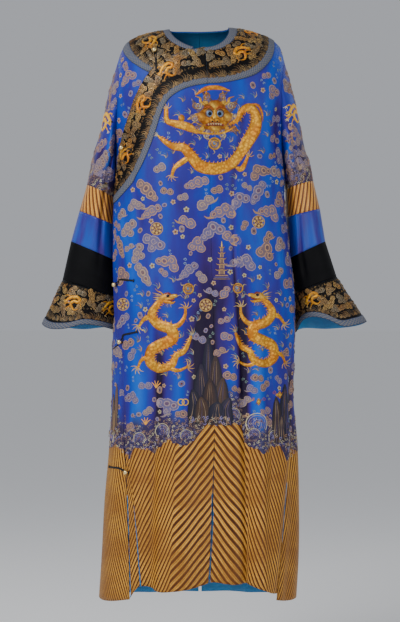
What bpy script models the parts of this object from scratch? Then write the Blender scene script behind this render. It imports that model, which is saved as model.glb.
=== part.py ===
"""Chinese court robe of embroidered silk (a dragon robe, jifu), hanging open as it is worn, with no wearer.

Metres, +Z up. The wearer faces -Y, so +X is the wearer's left. The origin is the middle of the neck
opening at shoulder height. Every piece of cloth is a thin closed wall. The body is one smooth hollow
form, described by a share u round its girth (0 front middle, 1 left side, -1 right side, 2 or -2 back
middle) and a height z. The panels, bands and trims are cut out of that form.
"""

from collections import namedtuple
from math import cos, pi, radians

import bmesh
import bpy
import numpy as np

# ---------------------------------------------------------------------------------------------
# Driving sizes
# ---------------------------------------------------------------------------------------------
CLOTH_WALL = 0.0016  # silk, interlining and lining together
BAND_WALL = 0.0010  # collar band, trims and bindings sewn on the cloth
SEAM_GAP = 0.0003
FRONT_LIFT = 0.005  # the outer front lies this far over the underlap
SHOULDER_ROUND = 0.11  # drop over which the shoulder rounds down into the front and back
SECTION_POWER = 2.2  # 2 is an ellipse, more is squarer
YOKE_Z = -0.46  # below this level the rows of the panels run level round the body
ARMPIT_Z = -0.36
VENT_Z = -0.95  # the vents open below this level
LIFT_SIDE_SHARE = 0.35  # the left front comes down to the side seam over this share of the girth
LIFT_SHOULDER_DROP = 0.05  # and to the shoulder line over this drop
ARMHOLE_FULLNESS = 0.022  # the chest is this much wider than the armhole line, well above the armpit
FULLNESS_RISE = 0.18
ARMHOLE_TOP_SHARE = 0.8  # above this share of its height the armhole leans in to the shoulder line
CUFF_TRIM_WIDTH = 0.016
CUFF_LENGTH = 0.105
SHARPEST_SHARED = radians(25)  # walls that meet more sharply keep square edges
SIDE_HINT = 1e-9  # keeps a point on the middle line on its own side
LEAST_REACH = 0.5  # a sharp corner is drawn in by at most twice the distance of its edges
NAME_DIGITS = 5  # points closer than this many decimal places are one point

FRONT_COLUMNS = 18
UNDERLAP_COLUMNS = 13
BACK_COLUMNS = 9
SIDE_COLUMNS = 3  # from the yoke level up to the armpit
ARMHOLE_COLUMNS = 8
YOKE_FAN = radians(48)  # part of the neck ring that the columns of the yoke line spring from
ARMPIT_FAN = radians(55)
YOKE_SHARES = (0.2, 0.4, 0.6, 0.8, 1.0)  # rows from the collar trim down to the yoke and armhole
LEVEL_ROWS = (-0.54, -0.62, -0.68, -0.73, -0.78, -0.86, VENT_Z)
VENT_SHARES = (0.2, 0.4, 0.6, 0.8, 1.0)  # rows from the top of the vents down to the hem
DIVIDED_PANELS = ("back_right", "underlap")  # two solids each, above and below the yoke line

# Half-widths and depths of the hollow body, level by level
Section = namedtuple("Section", "z left_x right_x front_y back_y")
SECTIONS = (
    Section(0.02, 0.2055, 0.2005, 0.112, 0.098),
    Section(-0.072, 0.2055, 0.2005, 0.118, 0.102),
    Section(-0.112, 0.2000, 0.1970, 0.121, 0.104),
    Section(-0.170, 0.1980, 0.1990, 0.124, 0.105),
    Section(-0.240, 0.1985, 0.2035, 0.125, 0.105),
    Section(-0.300, 0.2030, 0.2055, 0.125, 0.105),
    Section(-0.360, 0.2070, 0.2065, 0.125, 0.105),
    Section(-0.417, 0.2070, 0.2085, 0.124, 0.105),
    Section(-0.540, 0.2205, 0.2100, 0.125, 0.108),
    Section(-0.660, 0.2325, 0.2090, 0.130, 0.113),
    Section(-0.784, 0.2310, 0.2150, 0.136, 0.120),
    Section(-0.906, 0.2296, 0.2165, 0.143, 0.130),
    Section(-1.030, 0.2400, 0.2235, 0.150, 0.142),
    Section(-1.150, 0.2428, 0.2340, 0.158, 0.152),
    Section(-1.274, 0.2426, 0.2405, 0.165, 0.162),
    Section(-1.420, 0.2345, 0.2500, 0.170, 0.170),
)

# Height of the shoulder line, from the right shoulder across the neck to the left
Shoulder = namedtuple("Shoulder", "x z")
SHOULDERS = (
    Shoulder(-0.215, -0.125),
    Shoulder(-0.2035, -0.086),
    Shoulder(-0.194, -0.0565),
    Shoulder(-0.184, -0.039),
    Shoulder(-0.161, -0.0206),
    Shoulder(-0.132, -0.011),
    Shoulder(-0.089, -0.0017),
    Shoulder(-0.040, 0.005),
    Shoulder(0.0, 0.006),
    Shoulder(0.040, 0.006),
    Shoulder(0.091, 0.0025),
    Shoulder(0.132, -0.007),
    Shoulder(0.169, -0.0196),
    Shoulder(0.186, -0.031),
    Shoulder(0.1985, -0.048),
    Shoulder(0.209, -0.0875),
    Shoulder(0.218, -0.125),
)

# Rings round the neck: how far out on each shoulder, how far down at the front and back middle
NeckRing = namedtuple("NeckRing", "left_x right_x front_drop back_drop")
NECK_RINGS = (
    NeckRing(0.0690, 0.0745, 0.0640, 0.0060),  # neck edge
    NeckRing(0.0905, 0.0905, 0.0740, 0.0132),  # outer edge of the neck binding
    NeckRing(0.1150, 0.1180, 0.0943, 0.0300),
    NeckRing(0.1400, 0.1450, 0.1147, 0.0500),
    NeckRing(0.1645, 0.1720, 0.1350, 0.0720),  # inner edge of the collar trim
    NeckRing(0.1805, 0.1880, 0.1510, 0.0870),  # outer edge of the collar trim
)
BINDING_ROW = 1
TRIM_ROW = 4

# The slanting edge of the overlap flap, the middle of the collar trim that runs beside it, and the
# share of the overlap's width below, station by station from the front middle to the right side
FlapStation = namedtuple("FlapStation", "edge_x edge_z trim_x trim_z share")
FLAP_STATIONS = (
    FlapStation(0.0120, -0.0580, 0.0182, -0.1370, 0.00),
    FlapStation(-0.0144, -0.0625, -0.0180, -0.1430, 0.10),
    FlapStation(-0.0700, -0.0785, -0.0500, -0.1545, 0.21),
    FlapStation(-0.1130, -0.1070, -0.0800, -0.1765, 0.32),
    FlapStation(-0.1480, -0.1610, -0.0990, -0.2120, 0.42),
    FlapStation(-0.1720, -0.2255, -0.1150, -0.2630, 0.52),
    FlapStation(-0.1890, -0.2850, -0.1390, -0.3240, 0.62),
    FlapStation(-0.1960, -0.3350, -0.1680, -0.3760, 0.74),
    FlapStation(-0.1990, -0.3620, -0.1920, -0.4040, 0.88),
    FlapStation(-0.2005, -0.3850, -0.2050, -0.4170, 1.00),
)
FLAP_SHARES = (0.0, 0.141, 0.427, 0.714, 1.0)  # rows from the flap's edge to the trim
FLAP_TRIM_HALF = 0.008
SIDE_SLANT = 1.3  # the trim crosses the side edge aslant, so it is this much wider along that edge
FLAP_TURN_STATION = 7  # the trim turns to cross the side edge over two stations from here
FLAP_TURN_STATIONS = 2
FLAP_BINDING_COLUMNS = 4  # the binding goes this far round the flap's corner

# The middle seam of the front
Seam = namedtuple("Seam", "z x")
FRONT_SEAM = (
    Seam(0.0, 0.010),
    Seam(-0.058, 0.012),
    Seam(-0.137, 0.0182),
    Seam(-0.460, 0.025),
    Seam(-0.950, 0.0368),
    Seam(-1.200, 0.030),
    Seam(-1.340, 0.0225),
    Seam(-1.420, 0.020),
)

# Where the panels end round the girth
Edge = namedtuple("Edge", "z overlap_u right_seam_u left_seam_u")
EDGES = (
    Edge(-0.36, -0.830, -1.000, 1.000),
    Edge(-0.46, -0.930, -1.000, 1.000),
    Edge(-0.62, -0.930, -1.000, 1.000),
    Edge(-0.66, -0.900, -1.000, 1.000),
    Edge(-0.715, -0.800, -0.890, 1.000),
    Edge(-0.745, -0.725, -0.810, 1.000),
    Edge(-0.779, -0.650, -0.730, 1.000),
    Edge(-0.900, -0.603, -0.662, 0.960),
    Edge(-1.030, -0.530, -0.590, 0.742),
    Edge(-1.097, -0.464, -0.541, 0.669),
    Edge(-1.180, -0.421, -0.500, 0.620),
    Edge(-1.348, -0.368, -0.443, 0.562),
    Edge(-1.420, -0.350, -0.430, 0.550),
)
UNDERLAP_TOP_FAN = radians(21)  # the underlap's front edge leaves the neck here
UNDERLAP_INNER_U = -0.14

VENT_GAP = 0.007  # at the hem; a vent closes to a seam at VENT_Z

# Height of the hem round the girth
Hem = namedtuple("Hem", "u z")
FRONT_HEM = (
    Hem(-0.44, -1.378),
    Hem(-0.38, -1.350),
    Hem(-0.30, -1.350),
    Hem(-0.25, -1.358),
    Hem(-0.14, -1.357),
    Hem(-0.03, -1.349),
    Hem(0.05, -1.338),
    Hem(0.20, -1.341),
    Hem(0.29, -1.340),
    Hem(0.38, -1.355),
    Hem(0.47, -1.366),
    Hem(0.60, -1.370),
)
BACK_HEM = (
    Hem(0.40, -1.378),
    Hem(0.70, -1.392),
    Hem(1.00, -1.390),
    Hem(1.50, -1.398),
    Hem(2.00, -1.402),
)

# Long soft folds of the skirt: where each one runs, its half-width in u, its height (below zero a
# hollow), and the levels where it starts and where it is full
Fold = namedtuple("Fold", "top_u hem_u width height top_z full_z")
FOLDS = (
    Fold(0.055, 0.060, 0.130, -0.014, -0.42, -0.85),
    Fold(0.175, 0.180, 0.060, 0.007, -0.50, -0.95),
    Fold(0.270, 0.298, 0.048, -0.015, -0.40, -1.00),
    Fold(0.370, 0.390, 0.060, 0.009, -0.50, -1.00),
    Fold(0.900, 0.700, 0.080, -0.008, -0.72, -0.95),
    Fold(-0.110, -0.115, 0.060, 0.006, -0.60, -1.00),
    Fold(-0.300, -0.290, 0.045, -0.011, -0.58, -1.00),
    Fold(-0.480, -0.420, 0.060, 0.006, -0.60, -1.00),
    Fold(1.180, 1.150, 0.070, -0.010, -0.60, -1.10),
    Fold(1.400, 1.420, 0.070, 0.009, -0.50, -1.00),
    Fold(1.640, 1.660, 0.070, -0.013, -0.45, -1.00),
    Fold(1.860, 1.850, 0.070, 0.008, -0.55, -1.05),
    Fold(-1.200, -1.180, 0.070, -0.010, -0.60, -1.10),
    Fold(-1.430, -1.440, 0.070, 0.009, -0.50, -1.00),
    Fold(-1.680, -1.690, 0.070, -0.013, -0.48, -1.00),
    Fold(-1.880, -1.870, 0.070, 0.008, -0.55, -1.05),
)
VENT_DIP = 0.007  # the cloth turns in beside the left side vent and the front vent
VENT_DIP_WIDTH = 0.05
VENT_DIP_RISE = 0.15  # it is full this far below the top of the vent

# Sleeve rings from the armhole to the cuff's hem: the outer and the inner end of each ring seen from
# the front, how far back its middle lies, and its half-depth
SleeveRing = namedtuple("SleeveRing", "outer_x outer_z inner_x inner_z middle_y half_depth")
RIGHT_SLEEVE = (
    SleeveRing(0.2005, -0.0760, 0.2065, -0.3600, 0.000, 0.052),
    SleeveRing(0.2110, -0.1090, 0.2070, -0.3635, 0.004, 0.056),
    SleeveRing(0.2222, -0.1440, 0.2074, -0.3675, 0.009, 0.060),
    SleeveRing(0.2348, -0.2000, 0.2079, -0.3740, 0.016, 0.063),
    SleeveRing(0.2450, -0.2500, 0.2084, -0.3810, 0.022, 0.064),
    SleeveRing(0.2578, -0.2850, 0.2090, -0.3890, 0.027, 0.063),
    SleeveRing(0.2701, -0.3350, 0.2097, -0.3980, 0.031, 0.061),
    SleeveRing(0.2790, -0.3770, 0.2105, -0.4070, 0.035, 0.059),  # top of the striped band
    SleeveRing(0.2980, -0.4410, 0.2090, -0.4770, 0.042, 0.055),  # top of the blue band
    SleeveRing(0.3190, -0.5157, 0.2070, -0.5637, 0.048, 0.051),  # top of the black band
    SleeveRing(0.3406, -0.6113, 0.2060, -0.6520, 0.053, 0.048),  # top of the cuff
    SleeveRing(0.3910, -0.7154, 0.2060, -0.7357, 0.058, 0.058),
)
LEFT_SLEEVE = (
    SleeveRing(0.2055, -0.0720, 0.2070, -0.3600, 0.000, 0.052),
    SleeveRing(0.2135, -0.1010, 0.2074, -0.3625, 0.004, 0.056),
    SleeveRing(0.2230, -0.1300, 0.2077, -0.3650, 0.009, 0.060),
    SleeveRing(0.2340, -0.1770, 0.2081, -0.3685, 0.016, 0.063),
    SleeveRing(0.2467, -0.2350, 0.2085, -0.3725, 0.022, 0.064),
    SleeveRing(0.2585, -0.2900, 0.2089, -0.3770, 0.027, 0.063),
    SleeveRing(0.2722, -0.3280, 0.2094, -0.3820, 0.031, 0.061),
    SleeveRing(0.2795, -0.3670, 0.2100, -0.3875, 0.035, 0.059),
    SleeveRing(0.2965, -0.4360, 0.2120, -0.4575, 0.042, 0.055),
    SleeveRing(0.3100, -0.5157, 0.2175, -0.5590, 0.048, 0.051),
    SleeveRing(0.3385, -0.6027, 0.2300, -0.6430, 0.055, 0.048),
    SleeveRing(0.4130, -0.7142, 0.2330, -0.7390, 0.060, 0.058),
)
SLEEVE_FOLD_EASE = 0.2  # each fold rises and dies over this share of its run
ARMHOLE_BLEND_RINGS = 3  # the sleeve turns from the armhole's shape to its own over these rings
BAND_STARTS = (7, 8, 9, 10)
BAND_ROWS = (2, 2, 3, 4)

# Wave of each cuff's hem, by the angle round the cuff from its outer edge over the front
CuffWave = namedtuple("CuffWave", "angle right_rise left_rise")
CUFF_WAVES = (
    CuffWave(0, -0.003, 0.000),
    CuffWave(44, -0.014, -0.004),
    CuffWave(70, -0.009, -0.004),
    CuffWave(98, 0.006, 0.020),
    CuffWave(120, 0.006, 0.030),
    CuffWave(142, 0.003, 0.024),
    CuffWave(160, 0.000, 0.000),
    CuffWave(180, 0.000, -0.002),
    CuffWave(225, 0.004, 0.004),
    CuffWave(270, -0.008, -0.006),
    CuffWave(315, -0.006, -0.008),
    CuffWave(360, -0.003, 0.000),
)

# Soft folds of the sleeves: the angle round the sleeve at its top and bottom, half-width in degrees,
# height, and the first and last ring
SleeveFold = namedtuple("SleeveFold", "side top_angle end_angle width height first last")
SLEEVE_FOLDS = (
    SleeveFold(-1, 105, 112, 22, 0.007, 1.0, 10.0),
    SleeveFold(-1, 150, 150, 18, -0.005, 2.0, 9.0),
    SleeveFold(-1, 285, 270, 24, 0.006, 1.0, 10.0),
    SleeveFold(1, 105, 120, 22, 0.007, 1.0, 10.0),
    SleeveFold(1, 78, 85, 18, -0.005, 4.0, 10.0),
    SleeveFold(1, 280, 265, 24, 0.006, 1.0, 10.0),
)

# Strap-and-ball closures: two points of the strap on the overlap, the ball, and where the strap ends
# on the layer behind
STRAP_RADIUS = 0.0023
BALL_RADIUS = 0.0060
BALL_NECK = 0.8  # the strap narrows to this share of its radius where it meets the ball
BALL_ANGLES = (-76, -50, -20, 10, 40, 70, 86)  # degrees from the ball's middle, ring by ring
STRAP_POINTS = 5
TAIL_POINTS = 3
TAIL_START = 0.010  # the tail leaves the ball this far to the side and below
RING_SIDES = 8
SLOPE_STEP = 0.004  # spacing of the points that measure how the cloth lies
Closure = namedtuple("Closure", "name start bend ball tail")
CLOSURES = (
    Closure("closure_collarbone", (-0.1045, -0.1120), (-0.1050, -0.0990), (-0.1075, -0.0630), None),
    Closure("closure_underarm", (-0.1640, -0.2990), (-0.1740, -0.2960), (-0.1850, -0.2925), None),
    Closure("closure_side_upper", (-0.1590, -0.6150), (-0.1930, -0.6120), (-0.2030, -0.6240), None),
    Closure("closure_side_middle", (-0.1500, -0.7380), (-0.1840, -0.7460), (-0.1895, -0.7630),
            (-0.2090, -0.7790)),
    Closure("closure_side_lower", (-0.2200, -1.0670), (-0.1960, -1.0670), (-0.1730, -1.0760), None),
)

# Colour (linear), roughness and metallic value of each material
Finish = namedtuple("Finish", "colour roughness metallic")
FINISHES = {
    "blue_silk": Finish((0.012, 0.100, 0.480), 0.45, 0.0),
    "gold_striped_silk": Finish((0.420, 0.230, 0.065), 0.45, 0.1),
    "plain_blue_silk": Finish((0.014, 0.050, 0.360), 0.40, 0.0),
    "black_silk": Finish((0.008, 0.008, 0.010), 0.50, 0.0),
    "gold_embroidered_black_silk": Finish((0.230, 0.140, 0.050), 0.50, 0.1),
    "grey_blue_braid": Finish((0.120, 0.150, 0.210), 0.60, 0.0),
    "black_cord": Finish((0.006, 0.006, 0.007), 0.60, 0.0),
}


# ---------------------------------------------------------------------------------------------
# Reading the tables
# ---------------------------------------------------------------------------------------------
def column(rows, name):
    return np.array([getattr(row, name) for row in rows], dtype=float)


def read(rows, key, name, at):
    """The table's named column at the given keys, along a smooth curve through its rows."""
    keys = column(rows, key)
    values = column(rows, name)
    order = np.argsort(keys)
    keys = keys[order]
    values = values[order]
    at = np.clip(np.asarray(at, dtype=float), keys[0], keys[-1])
    slopes = np.gradient(values, keys)
    i = np.clip(np.searchsorted(keys, at) - 1, 0, len(keys) - 2)
    step = keys[i + 1] - keys[i]
    t = (at - keys[i]) / step
    rise = values[i + 1] - values[i]
    bend = (slopes[i] * step - rise) * (1 - t) + (rise - slopes[i + 1] * step) * t
    return values[i] + t * rise + t * (1 - t) * bend


def read_at_number(rows, name, at):
    """The same, with the rows' own numbers as keys."""
    Numbered = namedtuple("Numbered", f"number {name}")
    numbered = [Numbered(k, getattr(row, name)) for k, row in enumerate(rows)]
    return read(numbered, "number", name, at)


def straight(rows, key, name, at):
    """The same with straight runs between the rows."""
    keys = column(rows, key)
    order = np.argsort(keys)
    return np.interp(at, keys[order], column(rows, name)[order])


def ease(t):
    t = np.clip(t, 0.0, 1.0)
    return t * t * (3 - 2 * t)


# ---------------------------------------------------------------------------------------------
# The hollow form of the body
# ---------------------------------------------------------------------------------------------
def half_width(z, left):
    """Half-width of the body; above the armpits it is fuller than the armhole line."""
    width = np.where(left, read(SECTIONS, "z", "left_x", z), read(SECTIONS, "z", "right_x", z))
    return width + ARMHOLE_FULLNESS * np.clip((z - ARMPIT_Z) / FULLNESS_RISE, 0.0, 1.0) ** 2


def armhole_x(z, side):
    return side * read(SECTIONS, "z", "left_x" if side > 0 else "right_x", z)


def shoulder_z(x):
    return read(SHOULDERS, "x", "z", x)


def share_of_girth(x, z, back=False):
    """The u of the point of the body that lies at x, at the front or the back."""
    part = np.clip(np.abs(x) / half_width(z, x > 0), 0.0, 1.0)
    u = np.arcsin(part ** (SECTION_POWER / 2)) / (pi / 2)
    return np.sign(x) * (2 - u if back else u)


def vent_lines(z):
    """The u of the vents whose edges turn in, at each level."""
    middle = share_of_girth(read(FRONT_SEAM, "z", "x", z), z)
    return middle, straight(EDGES, "z", "left_seam_u", z)


def fold_height(u, z):
    down = (YOKE_Z - z) / (YOKE_Z - FRONT_HEM[0].z)
    height = np.zeros(np.broadcast(u, z).shape)
    for fold in FOLDS:
        middle = fold.top_u + (fold.hem_u - fold.top_u) * down
        grown = ease((fold.top_z - z) / (fold.top_z - fold.full_z))
        height = height + fold.height * grown * np.exp(-(((u - middle) / fold.width) ** 2))
    grown = ease((VENT_Z - z) / VENT_DIP_RISE)
    for line in vent_lines(z):
        height = height - VENT_DIP * grown * np.exp(-(((u - line) / VENT_DIP_WIDTH) ** 2))
    return height


def body(u, z):
    """Points of the body at girth shares u and levels z."""
    u, z = np.broadcast_arrays(np.asarray(u, dtype=float), np.asarray(z, dtype=float))
    turn = u * pi / 2
    width = half_width(z, u >= 0)
    x = np.sign(np.sin(turn)) * width * np.abs(np.sin(turn)) ** (2 / SECTION_POWER)
    front = read(SECTIONS, "z", "front_y", z)
    back = read(SECTIONS, "z", "back_y", z)
    depth = np.where(np.abs(u) <= 1, front, back)
    drop = np.clip((shoulder_z(x) - z) / SHOULDER_ROUND, 0.0, 1.0)
    rounding = np.sqrt(1 - (1 - drop) ** 2)
    y = -depth * np.cos(turn) * rounding
    out_x = np.sin(turn) * depth
    out_y = -np.cos(turn) * width
    height = fold_height(u, z) / np.hypot(out_x, out_y)
    return np.stack([x + out_x * height, y + out_y * height, z], axis=-1)


def hem_z(u, back):
    rows = BACK_HEM if back else FRONT_HEM
    return read(rows, "u", "z", np.abs(u) if back else u)


# ---------------------------------------------------------------------------------------------
# Surfaces: arrays of points with triangles, cut out of the form
# ---------------------------------------------------------------------------------------------
class Surface:
    """A sheet of points and triangles that faces outwards, with a normal at each point."""

    def __init__(self, points, triangles):
        self.points = np.asarray(points, dtype=float)
        self.triangles = np.asarray(triangles, dtype=int)
        self.normals = None

    def face_normals(self):
        a, b, c = (self.points[self.triangles[:, k]] for k in range(3))
        return np.cross(b - a, c - a)


def quads(index, flip):
    """Two triangles for each cell of a grid of point numbers."""
    a, b = index[:-1, :-1].ravel(), index[:-1, 1:].ravel()
    d, c = index[1:, :-1].ravel(), index[1:, 1:].ravel()
    triangles = np.concatenate([np.stack([a, b, c], 1), np.stack([a, c, d], 1)])
    return triangles[:, ::-1] if flip else triangles


def point_names(surface):
    """A name for each point that is the same on every surface that has it."""
    return [tuple(p) for p in np.round(surface.points, NAME_DIGITS)]


def point_sums(surface, names):
    """Sum of the triangle normals at each of a surface's named points."""
    sums = {}
    for triangle, normal in zip(surface.triangles, surface.face_normals()):
        for i in triangle:
            sums[names[i]] = sums.get(names[i], 0) + normal
    return sums


def unit(vectors):
    return vectors / np.linalg.norm(vectors, axis=-1, keepdims=True)


def weld_normals(body_surfaces, sleeve_surfaces):
    """Gives the surfaces normals that agree where they meet; at a sharp armhole each side keeps its own."""
    groups = (body_surfaces, sleeve_surfaces)
    totals = []
    for surfaces in groups:
        total = {}
        for surface in surfaces:
            for name, value in point_sums(surface, point_names(surface)).items():
                total[name] = total.get(name, 0) + value
        totals.append(total)
    for surfaces, own_total, other_total in zip(groups, totals, totals[::-1]):
        for surface in surfaces:
            names = point_names(surface)
            own = unit(np.array([own_total[name] for name in names]))
            both = unit(np.array([own_total[name] + other_total.get(name, 0) for name in names]))
            alike = (own * both).sum(axis=1) > cos(SHARPEST_SHARED)
            surface.normals = np.where(alike[:, None], both, own)


def boundary(triangles):
    """Directed edges that only one triangle uses."""
    edges = {}
    for a, b, c in triangles:
        for start, end in ((a, b), (b, c), (c, a)):
            edges[(start, end)] = edges.get((start, end), 0) + 1
    return [edge for edge in edges if (edge[1], edge[0]) not in edges]


def drawn_in(points, normals, triangles, distances):
    """The points with every open edge drawn in by each point's distance, to leave gaps at the seams."""
    moves = {}
    for start, end in boundary(triangles):
        along = points[end] - points[start]
        inward = unit(np.cross(normals[start] + normals[end], along))
        for i in (start, end):
            moves.setdefault(i, []).append(inward)
    moved = points.copy()
    for i, found in moves.items():
        mean = unit(np.sum(found, axis=0))
        reach = max(float(np.dot(mean, found[0])), LEAST_REACH)
        moved[i] = points[i] + mean * distances[i] / reach
    return moved


def make_object(name, points, triangles, finish):
    mesh = bpy.data.meshes.new(name)
    built = bmesh.new()
    corners = [built.verts.new(tuple(p)) for p in points]
    for triangle in triangles:
        built.faces.new([corners[i] for i in triangle])
    built.normal_update()
    built.to_mesh(mesh)
    built.free()
    thing = bpy.data.objects.new(name, mesh)
    bpy.context.scene.collection.objects.link(thing)
    thing.data.materials.append(material(finish))
    return thing


def material(finish):
    """One Principled material for each finish, made once."""
    if finish in bpy.data.materials:
        return bpy.data.materials[finish]
    made = bpy.data.materials.new(finish)
    made.use_nodes = True
    surface = made.node_tree.nodes["Principled BSDF"]
    colour, roughness, metallic = FINISHES[finish]
    surface.inputs["Base Color"].default_value = (*colour, 1.0)
    surface.inputs["Roughness"].default_value = roughness
    surface.inputs["Metallic"].default_value = metallic
    made.diffuse_color = (*colour, 1.0)
    return made


def vent_half_gap(z, vents):
    """Half of a vent's gap: nothing down to its top, then growing evenly to the hem."""
    return VENT_GAP / 2 * vents * np.clip((VENT_Z - z) / (VENT_Z - FRONT_HEM[0].z), 0.0, 1.0)


def make_wall(name, surface, finish, triangles=None, rise=0.0, thickness=CLOTH_WALL, vents=False):
    """A closed wall of cloth whose outer face lies `rise` out from the surface."""
    triangles = surface.triangles if triangles is None else triangles
    used, compact = np.unique(triangles, return_inverse=True)
    triangles = compact.reshape(-1, 3)
    normals = surface.normals[used]
    outer = surface.points[used] + normals * np.broadcast_to(rise, (len(used),))[:, None]
    outer = drawn_in(outer, normals, triangles, SEAM_GAP / 2 + vent_half_gap(outer[:, 2], vents))
    inner = outer - normals * thickness
    count = len(used)
    rim = []
    for start, end in boundary(triangles):
        rim.append((end, start, start + count))
        rim.append((end, start + count, end + count))
    every = np.concatenate([triangles, triangles[:, ::-1] + count, np.array(rim)])
    return make_object(name, np.concatenate([outer, inner]), every, finish)


# ---------------------------------------------------------------------------------------------
# The panels
# ---------------------------------------------------------------------------------------------
def armhole_levels(side):
    """Levels of the armhole's points, from the armpit up to the shoulder line."""
    ring = (LEFT_SLEEVE if side > 0 else RIGHT_SLEEVE)[0]
    turns = np.linspace(pi, 0, ARMHOLE_COLUMNS + 1)
    middle = (ring.outer_z + ARMPIT_Z) / 2
    levels = middle + (ring.outer_z - ARMPIT_Z) / 2 * np.cos(turns)
    return levels


def armhole_top(side):
    ring = (LEFT_SLEEVE if side > 0 else RIGHT_SLEEVE)[0]
    return side * ring.outer_x


def armhole_points(side, back):
    """Points (x, z) of the armhole from the armpit up; the last lies on the shoulder line."""
    levels = armhole_levels(side)
    x = armhole_x(levels, side)
    reach = (levels - ARMPIT_Z) / (levels[-1] - ARMPIT_Z)
    x = x + (armhole_top(side) - x) * ease((reach - ARMHOLE_TOP_SHARE) / (1 - ARMHOLE_TOP_SHARE))
    levels = levels.copy()
    levels[-1] = shoulder_z(armhole_top(side))
    return x, levels


def yoke(side, back, columns, first_fan=0.0, inner_u=None):
    """Grid of (u, z) from the neck edge out to the yoke line, the side and the armhole."""
    seam_x = 0.0 if back else read(FRONT_SEAM, "z", "x", YOKE_Z)
    middle_u = share_of_girth(np.array(seam_x + SIDE_HINT * side), YOKE_Z, back)
    start_u = middle_u if inner_u is None else inner_u
    side_u = float(side)
    yoke_u = start_u + (side_u - start_u) * np.linspace(0, 1, columns + 1)
    yoke_x = body(yoke_u, YOKE_Z)[:, 0]
    side_z = np.linspace(YOKE_Z, ARMPIT_Z, SIDE_COLUMNS + 1)[1:]
    hole_x, hole_z = armhole_points(side, back)
    end_x = np.concatenate([yoke_x, body(side_u, side_z)[:, 0], hole_x[1:]])
    end_z = np.concatenate([np.full(columns + 1, YOKE_Z), side_z, hole_z[1:]])
    fan = np.concatenate([
        np.linspace(first_fan, YOKE_FAN, columns + 1),
        np.linspace(YOKE_FAN, ARMPIT_FAN, SIDE_COLUMNS + 1)[1:],
        np.linspace(ARMPIT_FAN, pi / 2, ARMHOLE_COLUMNS + 1)[1:],
    ])
    rows_x = []
    rows_drop = []
    for ring in NECK_RINGS:
        drop = (ring.back_drop if back else ring.front_drop) * np.cos(fan)
        shift = 0.0 if back else read(FRONT_SEAM, "z", "x", shoulder_z(0.0) - drop)
        reach = ring.left_x if side > 0 else ring.right_x
        rows_x.append(shift * np.cos(fan) + side * reach * np.sin(fan))
        rows_drop.append(drop)
    end_drop = shoulder_z(end_x) - end_z
    start_x = rows_x[-1]
    start_drop = rows_drop[-1]
    for share in YOKE_SHARES:
        rows_x.append(start_x + (end_x - start_x) * share)
        rows_drop.append(start_drop + (end_drop - start_drop) * share)
    x = np.array(rows_x)
    z = shoulder_z(x) - np.maximum(np.array(rows_drop), 0.0)
    z[-1] = end_z
    u = share_of_girth(x + SIDE_HINT * side, z, back)
    u[-1, :columns + 1] = yoke_u
    u[-1, columns:columns + SIDE_COLUMNS + 1] = side_u
    if side > 0 and not back:
        flap_u, flap_z = flap_yoke()
        u[:, 0], z[:, 0] = flap_u[:, 0], flap_z[:, 0]
    return u, z


def flap_shares():
    """Share of the overlap's width at each of its columns."""
    station = np.linspace(0, len(FLAP_STATIONS) - 1, FRONT_COLUMNS + 1)
    return read_at_number(FLAP_STATIONS, "share", station)


def flap_yoke():
    """Grid of (u, z) of the overlap from its slanting edge down to the yoke line."""
    station = np.linspace(0, len(FLAP_STATIONS) - 1, FRONT_COLUMNS + 1)
    edge = np.stack([read_at_number(FLAP_STATIONS, name, station) for name in ("edge_x", "edge_z")], 1)
    trim = np.stack([read_at_number(FLAP_STATIONS, name, station) for name in ("trim_x", "trim_z")], 1)
    along = np.gradient(trim, axis=0)
    along[0] = (-1.0, 0.0)
    across = unit(np.stack([along[:, 1], -along[:, 0]], 1))
    across = np.where((across * (edge - trim)).sum(1, keepdims=True) > 0, across, -across)
    toward_side = ease((station - FLAP_TURN_STATION) / FLAP_TURN_STATIONS)[:, None]
    across = across * (1 - toward_side) + np.array([[0.0, SIDE_SLANT]]) * toward_side
    inner = trim + across * FLAP_TRIM_HALF
    outer = trim - across * FLAP_TRIM_HALF
    last_u = straight(EDGES, "z", "overlap_u", YOKE_Z)
    seam_u = share_of_girth(read(FRONT_SEAM, "z", "x", YOKE_Z), YOKE_Z)
    yoke_u = seam_u + (last_u - seam_u) * flap_shares()
    bottom = body(yoke_u, YOKE_Z)[:, [0, 2]]
    grid = [edge + (inner - edge) * share for share in FLAP_SHARES]
    grid.append(outer)
    grid.extend(outer + (bottom - outer) * share for share in YOKE_SHARES)
    grid = np.array(grid)
    x, z = grid[..., 0], grid[..., 1]
    x[:, 0] = read(FRONT_SEAM, "z", "x", z[:, 0])
    u = share_of_girth(x, z)
    u[:, -1] = straight(EDGES, "z", "overlap_u", z[:, -1])
    u[-1] = yoke_u
    return u, z


def skirt(first_u, last_u, shares, back):
    """Grid of (u, z) from the yoke line to the hem, between two edges given level by level."""
    share = shares[None, :]
    levels = np.array(LEVEL_ROWS)[:, None] + 0 * share
    vent = np.array(VENT_SHARES)[:, None]
    low = VENT_Z + (hem_z(0.0, back) - VENT_Z) * vent + 0 * share
    for _ in range(3):
        u = first_u(low) + (last_u(low) - first_u(low)) * share
        low = VENT_Z + (hem_z(u, back) - VENT_Z) * vent
    z = np.concatenate([levels, low])
    u = first_u(z) + (last_u(z) - first_u(z)) * share
    return u, z


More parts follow.
